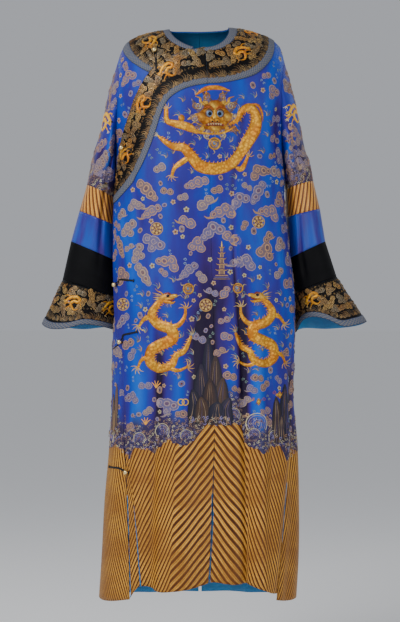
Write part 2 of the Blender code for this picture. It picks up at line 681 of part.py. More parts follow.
def panel(upper, lower, flip):
    """One surface from a yoke grid and the skirt grid that hangs below it."""
    columns = lower[0].shape[1]
    top = body(*upper)
    bottom = body(*lower)
    top_index = np.arange(top.shape[0] * top.shape[1]).reshape(top.shape[:2])
    low_index = top_index.size + np.arange(bottom.shape[0] * bottom.shape[1]).reshape(bottom.shape[:2])
    joined = np.concatenate([top_index[-1:, :columns], low_index])
    above, below = quads(top_index, flip), quads(joined, flip)
    surface = Surface(
        np.concatenate([top.reshape(-1, 3), bottom.reshape(-1, 3)]),
        np.concatenate([above, below]),
    )
    surface.above, surface.below = above, below
    surface.top = top_index
    surface.u = np.concatenate([upper[0].ravel(), lower[0].ravel()])
    return surface


def front_seam_u(z):
    return share_of_girth(read(FRONT_SEAM, "z", "x", z), z)


def edge_u(name):
    return lambda z: straight(EDGES, "z", name, z)


def constant_u(u):
    return lambda z: u + 0 * z


def build_panels():
    """The surfaces of the body's panels."""
    even_front = np.linspace(0, 1, FRONT_COLUMNS + 1)
    even_under = np.linspace(0, 1, UNDERLAP_COLUMNS + 1)
    even_back = np.linspace(0, 1, BACK_COLUMNS + 1)
    panels = {}
    panels["front_left"] = panel(
        yoke(1, False, FRONT_COLUMNS),
        skirt(front_seam_u, edge_u("left_seam_u"), even_front, False),
        True,
    )
    panels["front_overlap"] = panel(
        flap_yoke(),
        skirt(front_seam_u, edge_u("overlap_u"), flap_shares(), False),
        False,
    )
    panels["underlap"] = panel(
        yoke(-1, False, UNDERLAP_COLUMNS, UNDERLAP_TOP_FAN, UNDERLAP_INNER_U),
        skirt(constant_u(UNDERLAP_INNER_U), edge_u("right_seam_u"), even_under, False),
        False,
    )
    panels["back_left"] = panel(
        yoke(1, True, BACK_COLUMNS),
        skirt(constant_u(2.0), edge_u("left_seam_u"), even_back, True),
        False,
    )
    panels["back_right"] = panel(
        yoke(-1, True, BACK_COLUMNS),
        skirt(constant_u(-2.0), edge_u("right_seam_u"), even_back, True),
        True,
    )
    return panels


# ---------------------------------------------------------------------------------------------
# The sleeves
# ---------------------------------------------------------------------------------------------
def sleeve_angles():
    return np.linspace(0, 2 * pi, 2 * ARMHOLE_COLUMNS + 1)[:-1]


def armhole_loop(side):
    """Points of the armhole, from the shoulder down the front to the armpit and up the back."""
    x, z = armhole_points(side, False)
    front = body(share_of_girth(x, z), z)
    back = body(share_of_girth(x, z, True), z)
    front[0] = body(float(side), ARMPIT_Z)
    return np.concatenate([front[::-1], back[1:-1]])


def sleeve_rings(side, places, angles):
    """Points of the sleeve at ring numbers (whole or between two) and angles round it."""
    rows = LEFT_SLEEVE if side > 0 else RIGHT_SLEEVE
    numbered = np.arange(len(rows))
    values = {name: column(rows, name) for name in SleeveRing._fields}
    at = {name: np.interp(places, numbered, values[name])[:, None] for name in values}
    turn = angles[None, :]
    x = (at["outer_x"] + at["inner_x"]) / 2 + (at["outer_x"] - at["inner_x"]) / 2 * np.cos(turn)
    z = (at["outer_z"] + at["inner_z"]) / 2 + (at["outer_z"] - at["inner_z"]) / 2 * np.cos(turn)
    depth = at["half_depth"] + 0 * turn
    degrees = np.degrees(turn)
    number = np.asarray(places)[:, None]
    for fold in SLEEVE_FOLDS:
        if fold.side == side:
            run = (number - fold.first) / (fold.last - fold.first)
            middle = fold.top_angle + (fold.end_angle - fold.top_angle) * run
            grown = ease(run / SLEEVE_FOLD_EASE) * ease((1 - run) / SLEEVE_FOLD_EASE)
            depth = depth + fold.height * grown * np.exp(-(((degrees - middle) / fold.width) ** 2))
    y = at["middle_y"] - depth * np.sin(turn)
    rise_name = "left_rise" if side > 0 else "right_rise"
    wave = read(CUFF_WAVES, "angle", rise_name, degrees)
    last = len(rows) - 1
    z = z + wave * ease(number - (last - 1))
    return np.stack([side * x, y, z], axis=-1)


def sleeve_surface(side, places, loop=None):
    """A tube through the rings at these places; its first ring is the armhole's loop if given."""
    points = sleeve_rings(side, places, sleeve_angles())
    if loop is not None:
        own = np.clip(np.asarray(places) / ARMHOLE_BLEND_RINGS, 0.0, 1.0)[:, None, None]
        first = points[:1]
        points = points + (loop[None] - first) * (1 - ease(own))
    index = np.arange(points.shape[0] * points.shape[1]).reshape(points.shape[:2])
    wrapped = np.concatenate([index, index[:, :1]], axis=1)
    surface = Surface(points.reshape(-1, 3), quads(wrapped, side < 0))
    surface.grid = wrapped
    return surface


def build_sleeves():
    """Surfaces of both sleeves' bands by name, and the cuffs' trims as parts of the cuffs."""
    names = ("stripe", "blue", "black", "cuff")
    pieces = {}
    for side, word in ((1, "left"), (-1, "right")):
        upper = np.arange(BAND_STARTS[0] + 1, dtype=float)
        pieces[f"sleeve_{word}_upper"] = sleeve_surface(side, upper, armhole_loop(side))
        for name, start, rows in zip(names, BAND_STARTS, BAND_ROWS):
            places = start + np.linspace(0, 1, rows + 1)
            if name == "cuff":
                places[-2] = start + 1 - CUFF_TRIM_WIDTH / CUFF_LENGTH
            pieces[f"sleeve_{word}_{name}"] = sleeve_surface(side, places)
    return pieces


# ---------------------------------------------------------------------------------------------
# Layers on the panels and the closures
# ---------------------------------------------------------------------------------------------
def front_rise(surface):
    """How far the left front lies out: level with the overlap at the middle, with the back at the side."""
    x, z = surface.points[:, 0], surface.points[:, 2]
    side_u = share_of_girth(armhole_x(z, 1), z)
    from_side = ease((side_u - surface.u) / LIFT_SIDE_SHARE)
    from_shoulder = ease((shoulder_z(x) - z) / LIFT_SHOULDER_DROP)
    return FRONT_LIFT * from_side * from_shoulder


def rows_of(surface, first_row, last_row, flip, columns=slice(None)):
    return quads(surface.top[first_row:last_row + 1, columns], flip)


def joined_layer(parts):
    """One surface from strips of several panels: (surface, triangles, rise of the panel)."""
    points = []
    normals = []
    triangles = []
    numbers = {}
    for surface, found, rise in parts:
        rises = np.broadcast_to(rise, (len(surface.points),))
        placed = surface.points + surface.normals * rises[:, None]
        for triangle in found:
            row = []
            for i in triangle:
                key = tuple(np.round(placed[i], NAME_DIGITS))
                if key not in numbers:
                    numbers[key] = len(points)
                    points.append(placed[i])
                    normals.append(surface.normals[i])
                row.append(numbers[key])
            triangles.append(row)
    layer = Surface(points, triangles)
    layer.normals = np.array(normals)
    return layer


def make_layer(name, parts, finish):
    make_wall(name, joined_layer(parts), finish, rise=SEAM_GAP + BAND_WALL, thickness=BAND_WALL)


def build_collar(panels, rises):
    """The collar band, its trim and the binding: round the neck, and along the overlap flap."""
    around = (("front_left", True), ("back_left", False), ("back_right", True), ("underlap", False))
    bands = (
        ("neck_binding", 0, BINDING_ROW, "grey_blue_braid"),
        ("collar_band_neck", BINDING_ROW, TRIM_ROW, "gold_embroidered_black_silk"),
        ("collar_trim_neck", TRIM_ROW, TRIM_ROW + 1, "grey_blue_braid"),
    )
    for name, first, last, finish in bands:
        parts = []
        for key, flip in around:
            surface = panels[key]
            parts.append((surface, rows_of(surface, first, last, flip), rises[key]))
        make_layer(name, parts, finish)
    flap = panels["front_overlap"]
    rise = rises["front_overlap"]
    near = slice(0, FLAP_BINDING_COLUMNS + 1)
    beyond = slice(FLAP_BINDING_COLUMNS, None)
    binding = rows_of(flap, 0, BINDING_ROW, False, near)
    band = np.concatenate([
        rows_of(flap, BINDING_ROW, TRIM_ROW, False, near),
        rows_of(flap, 0, TRIM_ROW, False, beyond),
    ])
    trim = rows_of(flap, TRIM_ROW, TRIM_ROW + 1, False)
    make_layer("overlap_binding", [(flap, binding, rise)], "grey_blue_braid")
    make_layer("collar_band_overlap", [(flap, band, rise)], "gold_embroidered_black_silk")
    make_layer("collar_trim_overlap", [(flap, trim, rise)], "grey_blue_braid")


def on_cloth(x, z, height, back_layer):
    """A point at a height over the cloth seen at (x, z) from the front, and the cloth's outward way."""
    x = np.asarray(x, dtype=float)
    z = np.asarray(z, dtype=float)
    u = share_of_girth(x, z)
    beside = body(u + SLOPE_STEP, z) - body(u - SLOPE_STEP, z)
    below = body(u, z - SLOPE_STEP) - body(u, z + SLOPE_STEP)
    out = unit(np.cross(beside, below))
    out = np.where(out[..., 1:2] < 0, out, -out)
    rise = height + (0.0 if back_layer else FRONT_LIFT)
    return body(u, z) + out * rise


def sweep(path, radii):
    """A closed tube of changing radius along a path."""
    path = np.asarray(path)
    ahead = unit(np.gradient(path, axis=0))
    across = unit(np.cross(ahead, (0.0, 1.0, 0.0)))
    upward = np.cross(across, ahead)
    turns = np.arange(RING_SIDES) * 2 * pi / RING_SIDES
    ring = across[:, None] * np.cos(turns)[None, :, None] + upward[:, None] * np.sin(turns)[None, :, None]
    rings = path[:, None] + ring * np.asarray(radii)[:, None, None]
    count = len(path)
    index = np.arange(count * RING_SIDES).reshape(count, RING_SIDES)
    wrapped = np.concatenate([index, index[:, :1]], axis=1)
    points = np.concatenate([rings.reshape(-1, 3), path[:1], path[-1:]])
    first, last = count * RING_SIDES, count * RING_SIDES + 1
    caps = []
    for k in range(RING_SIDES):
        caps.append((first, wrapped[0, k], wrapped[0, k + 1]))
        caps.append((last, wrapped[-1, k + 1], wrapped[-1, k]))
    return points, np.concatenate([quads(wrapped, True), np.array(caps)])


def build_closures():
    """A strap that runs to its ball button; the middle side one runs on to the layer behind."""
    over_band = {"closure_collarbone", "closure_underarm"}
    share = np.linspace(0, 1, STRAP_POINTS)[:, None]
    polar = np.radians(BALL_ANGLES)
    for closure in CLOSURES:
        behind = closure.name == "closure_side_lower"
        base = SEAM_GAP + (SEAM_GAP + BAND_WALL if closure.name in over_band else 0.0)
        start, bend, ball = (np.array(p) for p in (closure.start, closure.bend, closure.ball))
        strap = start + (bend - start) * share
        strap_path = on_cloth(strap[:, 0], strap[:, 1], base + STRAP_RADIUS, behind)
        centre = on_cloth(ball[0], ball[1], base + BALL_RADIUS, behind)
        toward = unit(centre - strap_path[-1])
        beads = centre + toward * BALL_RADIUS * np.sin(polar)[:, None]
        path = np.concatenate([strap_path, beads])
        radii = np.concatenate([np.full(STRAP_POINTS, STRAP_RADIUS), BALL_RADIUS * np.cos(polar)])
        radii[STRAP_POINTS] = STRAP_RADIUS * BALL_NECK
        if closure.tail is not None:
            tail = np.linspace(ball - TAIL_START, closure.tail, TAIL_POINTS)
            tail_path = on_cloth(tail[:, 0], tail[:, 1], SEAM_GAP + STRAP_RADIUS, True)
            path = np.concatenate([path[:-1], tail_path])
            radii = np.concatenate([radii[:-1], np.full(TAIL_POINTS, STRAP_RADIUS)])
        points, triangles = sweep(path, radii)
        make_object(closure.name, points, triangles, "black_cord")


# ---------------------------------------------------------------------------------------------
# The robe
# ---------------------------------------------------------------------------------------------
def build_robe():
    for old in list(bpy.data.objects):
        bpy.data.objects.remove(old)
    panels = build_panels()
    sleeves = build_sleeves()
    weld_normals(panels.values(), sleeves.values())
    rises = {name: 0.0 for name in panels}
    rises["front_overlap"] = FRONT_LIFT
    rises["front_left"] = front_rise(panels["front_left"])
    for name, surface in panels.items():
        walls = {name: surface.triangles}
        if name in DIVIDED_PANELS:
            walls = {name: surface.above, f"{name}_skirt": surface.below}
        for wall_name, triangles in walls.items():
            make_wall(wall_name, surface, "blue_silk", triangles, rises[name], vents=True)
    finishes = {
        "upper": "blue_silk",
        "stripe": "gold_striped_silk",
        "blue": "plain_blue_silk",
        "black": "black_silk",
        "cuff": "gold_embroidered_black_silk",
    }
    for name, surface in sleeves.items():
        make_wall(name, surface, finishes[name.split("_")[-1]])
    for word, flip in (("left", False), ("right", True)):
        cuff = sleeves[f"sleeve_{word}_cuff"]
        make_layer(f"cuff_{word}_trim", [(cuff, quads(cuff.grid[-2:], flip), 0.0)], "grey_blue_braid")
    build_collar(panels, rises)
    build_closures()


build_robe()
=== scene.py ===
from collections import namedtuple
from math import cos, pi, radians, sin

import bmesh
import bpy
import numpy as np
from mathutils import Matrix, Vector
from mathutils.bvhtree import BVHTree
from mathutils.kdtree import KDTree


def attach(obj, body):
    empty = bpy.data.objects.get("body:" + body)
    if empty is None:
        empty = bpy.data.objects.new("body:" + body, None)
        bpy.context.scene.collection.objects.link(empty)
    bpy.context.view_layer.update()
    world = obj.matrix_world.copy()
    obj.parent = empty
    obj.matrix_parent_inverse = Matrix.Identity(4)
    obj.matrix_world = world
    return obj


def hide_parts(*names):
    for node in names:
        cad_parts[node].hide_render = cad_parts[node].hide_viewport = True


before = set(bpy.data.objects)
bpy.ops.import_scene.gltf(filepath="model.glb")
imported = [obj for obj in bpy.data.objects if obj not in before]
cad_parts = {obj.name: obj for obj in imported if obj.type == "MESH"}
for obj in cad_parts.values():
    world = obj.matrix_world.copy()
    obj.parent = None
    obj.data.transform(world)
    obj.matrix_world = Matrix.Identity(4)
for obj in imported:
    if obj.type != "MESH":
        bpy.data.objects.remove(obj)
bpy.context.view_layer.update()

# ----------------------------------------
# The body of the robe: two fronts, an underlap and two backs in embroidered blue silk satin with
# a light blue lining, sewn down the middle front, the middle back and the sides, and left open
# below the hips at four vents. Metres, +Z up; the wearer faces -Y and +X is the wearer's left.
CLOTH = 0.0013
SEAM_GAP = 0.0003
FRONT_LIFT = 0.005  # the outer front lies this far over the underlap
SHOULDER_ROUND = 0.11
SECTION_POWER = 2.2
YOKE_Z = -0.46
ARMPIT_Z = -0.36
VENT_Z = -0.95
VENT_GAP = 0.007
LIFT_SIDE_SHARE = 0.35
LIFT_SHOULDER_DROP = 0.05
ARMHOLE_FULLNESS = 0.022
FULLNESS_RISE = 0.18
ARMHOLE_TOP_SHARE = 0.8
SIDE_HINT = 1e-9  # tells the left of the middle from the right
MERGE_DISTANCE = 2e-5
FRONT_COLUMNS, UNDERLAP_COLUMNS, BACK_COLUMNS, SIDE_COLUMNS, ARMHOLE_COLUMNS = 18, 13, 9, 3, 8
YOKE_FAN = radians(48)
ARMPIT_FAN = radians(55)
YOKE_SHARES = (0.2, 0.4, 0.6, 0.8, 1.0)
LEVEL_ROWS = (-0.54, -0.62, -0.68, -0.73, -0.78, -0.86, VENT_Z)
VENT_SHARES = (0.2, 0.4, 0.6, 0.8, 1.0)


def table(columns, *rows):
    """Rows of values under named columns."""
    row_type = namedtuple("Row", columns)
    return [row_type(*row) for row in rows]


# Half-widths and depths of the hollow body, level by level
SECTIONS = table(
    "z left_x right_x front_y back_y",
    (0.02, 0.2055, 0.2005, 0.112, 0.098), (-0.072, 0.2055, 0.2005, 0.118, 0.102),
    (-0.112, 0.2, 0.197, 0.121, 0.104), (-0.17, 0.198, 0.199, 0.124, 0.105),
    (-0.24, 0.1985, 0.2035, 0.125, 0.105), (-0.3, 0.203, 0.2055, 0.125, 0.105),
    (-0.36, 0.207, 0.2065, 0.125, 0.105), (-0.417, 0.207, 0.2085, 0.124, 0.105),
    (-0.54, 0.2205, 0.21, 0.125, 0.108), (-0.66, 0.2325, 0.209, 0.13, 0.113),
    (-0.784, 0.231, 0.215, 0.136, 0.12), (-0.906, 0.2296, 0.2165, 0.143, 0.13),
    (-1.03, 0.24, 0.2235, 0.15, 0.142), (-1.15, 0.2428, 0.234, 0.158, 0.152),
    (-1.274, 0.2426, 0.2405, 0.165, 0.162), (-1.42, 0.2345, 0.25, 0.17, 0.17),
)

SHOULDERS = table(
    "x z",
    (-0.215, -0.125), (-0.2035, -0.086), (-0.194, -0.0565), (-0.184, -0.039), (-0.161, -0.0206),
    (-0.132, -0.011), (-0.089, -0.0017), (-0.04, 0.005), (0.0, 0.006), (0.04, 0.006), (0.091, 0.0025),
    (0.132, -0.007), (0.169, -0.0196), (0.186, -0.031), (0.1985, -0.048), (0.209, -0.0875),
    (0.218, -0.125),
)

# Rings round the neck: how far out on each shoulder, how far down at the front and back middle
NECK_RINGS = table(
    "left_x right_x front_drop back_drop",
    (0.069, 0.0745, 0.064, 0.006), (0.0905, 0.0905, 0.074, 0.0132), (0.115, 0.118, 0.0943, 0.03),
    (0.14, 0.145, 0.1147, 0.05), (0.1645, 0.172, 0.135, 0.072), (0.1805, 0.188, 0.151, 0.087),
)

# The slanting edge of the overlap flap and the middle of the trim beside it, station by station
FLAP_STATIONS = table(
    "edge_x edge_z trim_x trim_z share",
    (0.012, -0.058, 0.0182, -0.137, 0.0), (-0.0144, -0.0625, -0.018, -0.143, 0.1),
    (-0.07, -0.0785, -0.05, -0.1545, 0.21), (-0.113, -0.107, -0.08, -0.1765, 0.32),
    (-0.148, -0.161, -0.099, -0.212, 0.42), (-0.172, -0.2255, -0.115, -0.263, 0.52),
    (-0.189, -0.285, -0.139, -0.324, 0.62), (-0.196, -0.335, -0.168, -0.376, 0.74),
    (-0.199, -0.362, -0.192, -0.404, 0.88), (-0.2005, -0.385, -0.205, -0.417, 1.0),
)
FLAP_SHARES = (0.0, 0.141, 0.427, 0.714, 1.0)
FLAP_TRIM_HALF = 0.008
SIDE_SLANT = 1.3
FLAP_TURN_STATION = 7
FLAP_TURN_STATIONS = 2

FRONT_SEAM = table(
    "z x",
    (0.0, 0.01), (-0.058, 0.012), (-0.137, 0.0182), (-0.46, 0.025), (-0.95, 0.0368), (-1.2, 0.03),
    (-1.34, 0.0225), (-1.42, 0.02),
)

# Where the panels end round the girth
EDGES = table(
    "z overlap_u right_seam_u left_seam_u",
    (-0.36, -0.83, -1.0, 1.0), (-0.46, -0.93, -1.0, 1.0), (-0.62, -0.93, -1.0, 1.0),
    (-0.66, -0.9, -1.0, 1.0), (-0.715, -0.8, -0.89, 1.0), (-0.745, -0.725, -0.81, 1.0),
    (-0.779, -0.65, -0.73, 1.0), (-0.9, -0.603, -0.662, 0.96), (-1.03, -0.53, -0.59, 0.742),
    (-1.097, -0.464, -0.541, 0.669), (-1.18, -0.421, -0.5, 0.62), (-1.348, -0.368, -0.443, 0.562),
    (-1.42, -0.35, -0.43, 0.55),
)
UNDERLAP_TOP_FAN = radians(21)
UNDERLAP_INNER_U = -0.14

FRONT_HEM = table(
    "u z",
    (-0.44, -1.378), (-0.38, -1.35), (-0.3, -1.35), (-0.25, -1.358), (-0.14, -1.357), (-0.03, -1.349),
    (0.05, -1.338), (0.2, -1.341), (0.29, -1.34), (0.38, -1.355), (0.47, -1.366), (0.6, -1.37),
)
BACK_HEM = table(
    "u z",
    (0.4, -1.378), (0.7, -1.392), (1.0, -1.39), (1.5, -1.398), (2.0, -1.402),
)

# Long soft folds of the skirt: where each runs, its half-width in u, its height (below zero a hollow),
# and the levels where it starts and where it is full
FOLDS = table(
    "top_u hem_u width height top_z full_z",
    (0.055, 0.06, 0.13, -0.014, -0.42, -0.85), (0.175, 0.18, 0.06, 0.007, -0.5, -0.95),
    (0.27, 0.298, 0.048, -0.015, -0.4, -1.0), (0.37, 0.39, 0.06, 0.009, -0.5, -1.0),
    (0.9, 0.7, 0.08, -0.008, -0.72, -0.95), (-0.11, -0.115, 0.06, 0.006, -0.6, -1.0),
    (-0.3, -0.29, 0.045, -0.011, -0.58, -1.0), (-0.48, -0.42, 0.06, 0.006, -0.6, -1.0),
    (1.18, 1.15, 0.07, -0.01, -0.6, -1.1), (1.4, 1.42, 0.07, 0.009, -0.5, -1.0),
    (1.64, 1.66, 0.07, -0.013, -0.45, -1.0), (1.86, 1.85, 0.07, 0.008, -0.55, -1.05),
    (-1.2, -1.18, 0.07, -0.01, -0.6, -1.1), (-1.43, -1.44, 0.07, 0.009, -0.5, -1.0),
    (-1.68, -1.69, 0.07, -0.013, -0.48, -1.0), (-1.88, -1.87, 0.07, 0.008, -0.55, -1.05),
)
VENT_DIP, VENT_DIP_WIDTH, VENT_DIP_RISE = 0.007, 0.05, 0.15

# Finer creases: from (u, z) to (u, z), half-width and height in metres
CREASES = table(
    "from_u from_z to_u to_z width height",
    (0.3, -0.16, 0.222, -0.46, 0.007, -0.0045), (0.212, -0.4, 0.268, -0.98, 0.006, -0.006),
    (0.246, -0.44, 0.3, -1.33, 0.005, 0.0022), (0.11, -0.52, 0.105, -1.28, 0.007, 0.002),
    (0.01, -0.6, -0.01, -1.2, 0.008, -0.0022), (-0.345, -0.55, -0.318, -1.34, 0.007, 0.003),
    (-0.24, -0.66, -0.235, -1.3, 0.009, -0.0025), (0.64, -0.8, 0.88, -0.87, 0.01, -0.003),
    (0.78, -0.7, 0.95, -0.86, 0.012, 0.0028), (0.46, -0.86, 0.43, -1.36, 0.009, -0.003),
    (-0.56, -0.3, -0.43, -0.52, 0.011, -0.0022), (-0.7, -0.42, -0.52, -0.66, 0.012, 0.0022),
    (0.62, -0.16, 0.76, -0.36, 0.012, -0.0028), (0.54, -0.12, 0.56, -0.34, 0.011, 0.002),
    (0.7, -0.4, 0.6, -0.62, 0.012, 0.0022), (0.38, -0.16, 0.33, -0.34, 0.012, -0.0015),
    (-0.18, -0.2, -0.12, -0.36, 0.012, -0.0012), (-0.64, -0.9, -0.52, -1.2, 0.01, -0.0025),
    (1.3, -0.2, 1.22, -0.42, 0.014, -0.003), (1.42, -0.16, 1.48, -0.4, 0.013, 0.0024),
    (1.54, -0.5, 1.52, -1.3, 0.01, -0.003), (1.76, -0.62, 1.78, -1.34, 0.01, 0.0028),
    (1.25, -0.8, 1.28, -1.36, 0.01, 0.0028), (-1.28, -0.22, -1.2, -0.44, 0.014, -0.003),
    (-1.4, -0.18, -1.46, -0.38, 0.013, 0.0024), (-1.56, -0.54, -1.545, -1.32, 0.01, -0.003),
    (-1.78, -0.66, -1.76, -1.3, 0.01, 0.0026), (-1.3, -0.86, -1.31, -1.36, 0.01, 0.0028),
)
METRES_PER_U = 0.27  # along the girth, near enough for the creases


def column(rows, name):
    return np.array([getattr(row, name) for row in rows], dtype=float)


def read(rows, key, name, at):
    """The table's named column at the given keys, along a smooth curve through its rows."""
    keys, values = column(rows, key), column(rows, name)
    order = np.argsort(keys)
    keys, values = keys[order], values[order]
    at = np.clip(np.asarray(at, dtype=float), keys[0], keys[-1])
    slopes = np.gradient(values, keys)
    i = np.clip(np.searchsorted(keys, at) - 1, 0, len(keys) - 2)
    step = keys[i + 1] - keys[i]
    t = (at - keys[i]) / step
    rise = values[i + 1] - values[i]
    bend = (slopes[i] * step - rise) * (1 - t) + (rise - slopes[i + 1] * step) * t
    return values[i] + t * rise + t * (1 - t) * bend


def read_at_number(rows, name, at):
    return read(table("number value", *enumerate(column(rows, name))), "number", "value", at)


def straight(rows, key, name, at):
    keys = column(rows, key)
    order = np.argsort(keys)
    return np.interp(at, keys[order], column(rows, name)[order])


def ease(t):
    t = np.clip(t, 0.0, 1.0)
    return t * t * (3 - 2 * t)


def unit(vectors):
    return vectors / np.maximum(np.linalg.norm(vectors, axis=-1, keepdims=True), 1e-12)


def half_width(z, left):
    width = np.where(left, read(SECTIONS, "z", "left_x", z), read(SECTIONS, "z", "right_x", z))
    return width + ARMHOLE_FULLNESS * np.clip((z - ARMPIT_Z) / FULLNESS_RISE, 0.0, 1.0) ** 2


def armhole_x(z, side):
    return side * read(SECTIONS, "z", "left_x" if side > 0 else "right_x", z)


def shoulder_z(x):
    return read(SHOULDERS, "x", "z", x)


def share_of_girth(x, z, back=False):
    """The u of the point of the body that lies at x, at the front or the back."""
    part = np.clip(np.abs(x) / half_width(z, x > 0), 0.0, 1.0)
    u = np.arcsin(part ** (SECTION_POWER / 2)) / (pi / 2)
    return np.sign(x) * (2 - u if back else u)


def front_seam_u(z):
    return share_of_girth(read(FRONT_SEAM, "z", "x", z), z)


def fold_height(u, z):
    """How far the cloth stands out at its folds and creases."""
    down = (YOKE_Z - z) / (YOKE_Z - FRONT_HEM[0].z)
    height = np.zeros(np.broadcast(u, z).shape)
    for fold in FOLDS:
        middle = fold.top_u + (fold.hem_u - fold.top_u) * down
        grown = ease((fold.top_z - z) / (fold.top_z - fold.full_z))
        height = height + fold.height * grown * np.exp(-(((u - middle) / fold.width) ** 2))
    grown = ease((VENT_Z - z) / VENT_DIP_RISE)
    for line in (front_seam_u(z), straight(EDGES, "z", "left_seam_u", z)):
        height = height - VENT_DIP * grown * np.exp(-(((u - line) / VENT_DIP_WIDTH) ** 2))
    for crease in CREASES:
        run = np.array([(crease.to_u - crease.from_u) * METRES_PER_U, crease.to_z - crease.from_z])
        length = np.hypot(*run)
        along, aside = run / length, np.array([run[1], -run[0]]) / length
        du, dz = (u - crease.from_u) * METRES_PER_U, z - crease.from_z
        t = (du * along[0] + dz * along[1]) / length
        ends = ease(t / 0.25) * ease((1 - t) / 0.25)
        wander = 0.004 * np.sin(7 * t + 40 * crease.from_u)
        off = du * aside[0] + dz * aside[1] + wander
        height = height + crease.height * ends * np.exp(-((off / crease.width) ** 2))
    return height


def body(u, z):
    """Points of the body at girth shares u (0 front middle, 1 left side, -1 right, 2 back) and levels z."""
    u, z = np.broadcast_arrays(np.asarray(u, dtype=float), np.asarray(z, dtype=float))
    turn = u * pi / 2
    width = half_width(z, u >= 0)
    x = np.sign(np.sin(turn)) * width * np.abs(np.sin(turn)) ** (2 / SECTION_POWER)
    depth = np.where(np.abs(u) <= 1, read(SECTIONS, "z", "front_y", z), read(SECTIONS, "z", "back_y", z))
    drop = np.clip((shoulder_z(x) - z) / SHOULDER_ROUND, 0.0, 1.0)
    y = -depth * np.cos(turn) * np.sqrt(1 - (1 - drop) ** 2)
    out_x, out_y = np.sin(turn) * depth, -np.cos(turn) * width
    height = fold_height(u, z) / np.hypot(out_x, out_y)
    return np.stack([x + out_x * height, y + out_y * height, z], axis=-1)


def hem_z(u, back):
    return read(BACK_HEM if back else FRONT_HEM, "u", "z", np.abs(u) if back else u)


def armhole_points(side):
    """Points (x, z) of the armhole from the armpit up; the last lies on the shoulder line."""
    ring = (LEFT_SLEEVE if side > 0 else RIGHT_SLEEVE)[0]
    turns = np.linspace(pi, 0, ARMHOLE_COLUMNS + 1)
    levels = (ring.outer_z + ARMPIT_Z) / 2 + (ring.outer_z - ARMPIT_Z) / 2 * np.cos(turns)
    x = armhole_x(levels, side)
    reach = (levels - ARMPIT_Z) / (levels[-1] - ARMPIT_Z)
    x = x + (side * ring.outer_x - x) * ease((reach - ARMHOLE_TOP_SHARE) / (1 - ARMHOLE_TOP_SHARE))
    levels[-1] = shoulder_z(side * ring.outer_x)
    return x, levels


def yoke(side, back, columns, first_fan=0.0, inner_u=None):
    """Grid of (u, z) from the neck edge out to the yoke line, the side and the armhole."""
    seam_x = 0.0 if back else read(FRONT_SEAM, "z", "x", YOKE_Z)
    middle_u = share_of_girth(np.array(seam_x + SIDE_HINT * side), YOKE_Z, back)
    start_u = middle_u if inner_u is None else inner_u
    side_u = float(side)
    yoke_u = start_u + (side_u - start_u) * np.linspace(0, 1, columns + 1)
    side_z = np.linspace(YOKE_Z, ARMPIT_Z, SIDE_COLUMNS + 1)[1:]
    hole_x, hole_z = armhole_points(side)
    end_x = np.concatenate([body(yoke_u, YOKE_Z)[:, 0], body(side_u, side_z)[:, 0], hole_x[1:]])
    end_z = np.concatenate([np.full(columns + 1, YOKE_Z), side_z, hole_z[1:]])
    fan = np.concatenate([
        np.linspace(first_fan, YOKE_FAN, columns + 1),
        np.linspace(YOKE_FAN, ARMPIT_FAN, SIDE_COLUMNS + 1)[1:],
        np.linspace(ARMPIT_FAN, pi / 2, ARMHOLE_COLUMNS + 1)[1:],
    ])
    rows_x, rows_drop = [], []
    for ring in NECK_RINGS:
        drop = (ring.back_drop if back else ring.front_drop) * np.cos(fan)
        shift = 0.0 if back else read(FRONT_SEAM, "z", "x", shoulder_z(0.0) - drop)
        reach = ring.left_x if side > 0 else ring.right_x
        rows_x.append(shift * np.cos(fan) + side * reach * np.sin(fan))
        rows_drop.append(drop)
    end_drop = shoulder_z(end_x) - end_z
    start_x, start_drop = rows_x[-1], rows_drop[-1]
    for share in YOKE_SHARES:
        rows_x.append(start_x + (end_x - start_x) * share)
        rows_drop.append(start_drop + (end_drop - start_drop) * share)
    x = np.array(rows_x)
    z = shoulder_z(x) - np.maximum(np.array(rows_drop), 0.0)
    z[-1] = end_z
    u = share_of_girth(x + SIDE_HINT * side, z, back)
    u[-1, :columns + 1] = yoke_u
    u[-1, columns:columns + SIDE_COLUMNS + 1] = side_u
    if side > 0 and not back:
        flap_u, flap_z = flap_yoke()
        u[:, 0], z[:, 0] = flap_u[:, 0], flap_z[:, 0]
    return u, z


def flap_shares():
    station = np.linspace(0, len(FLAP_STATIONS) - 1, FRONT_COLUMNS + 1)
    return read_at_number(FLAP_STATIONS, "share", station)


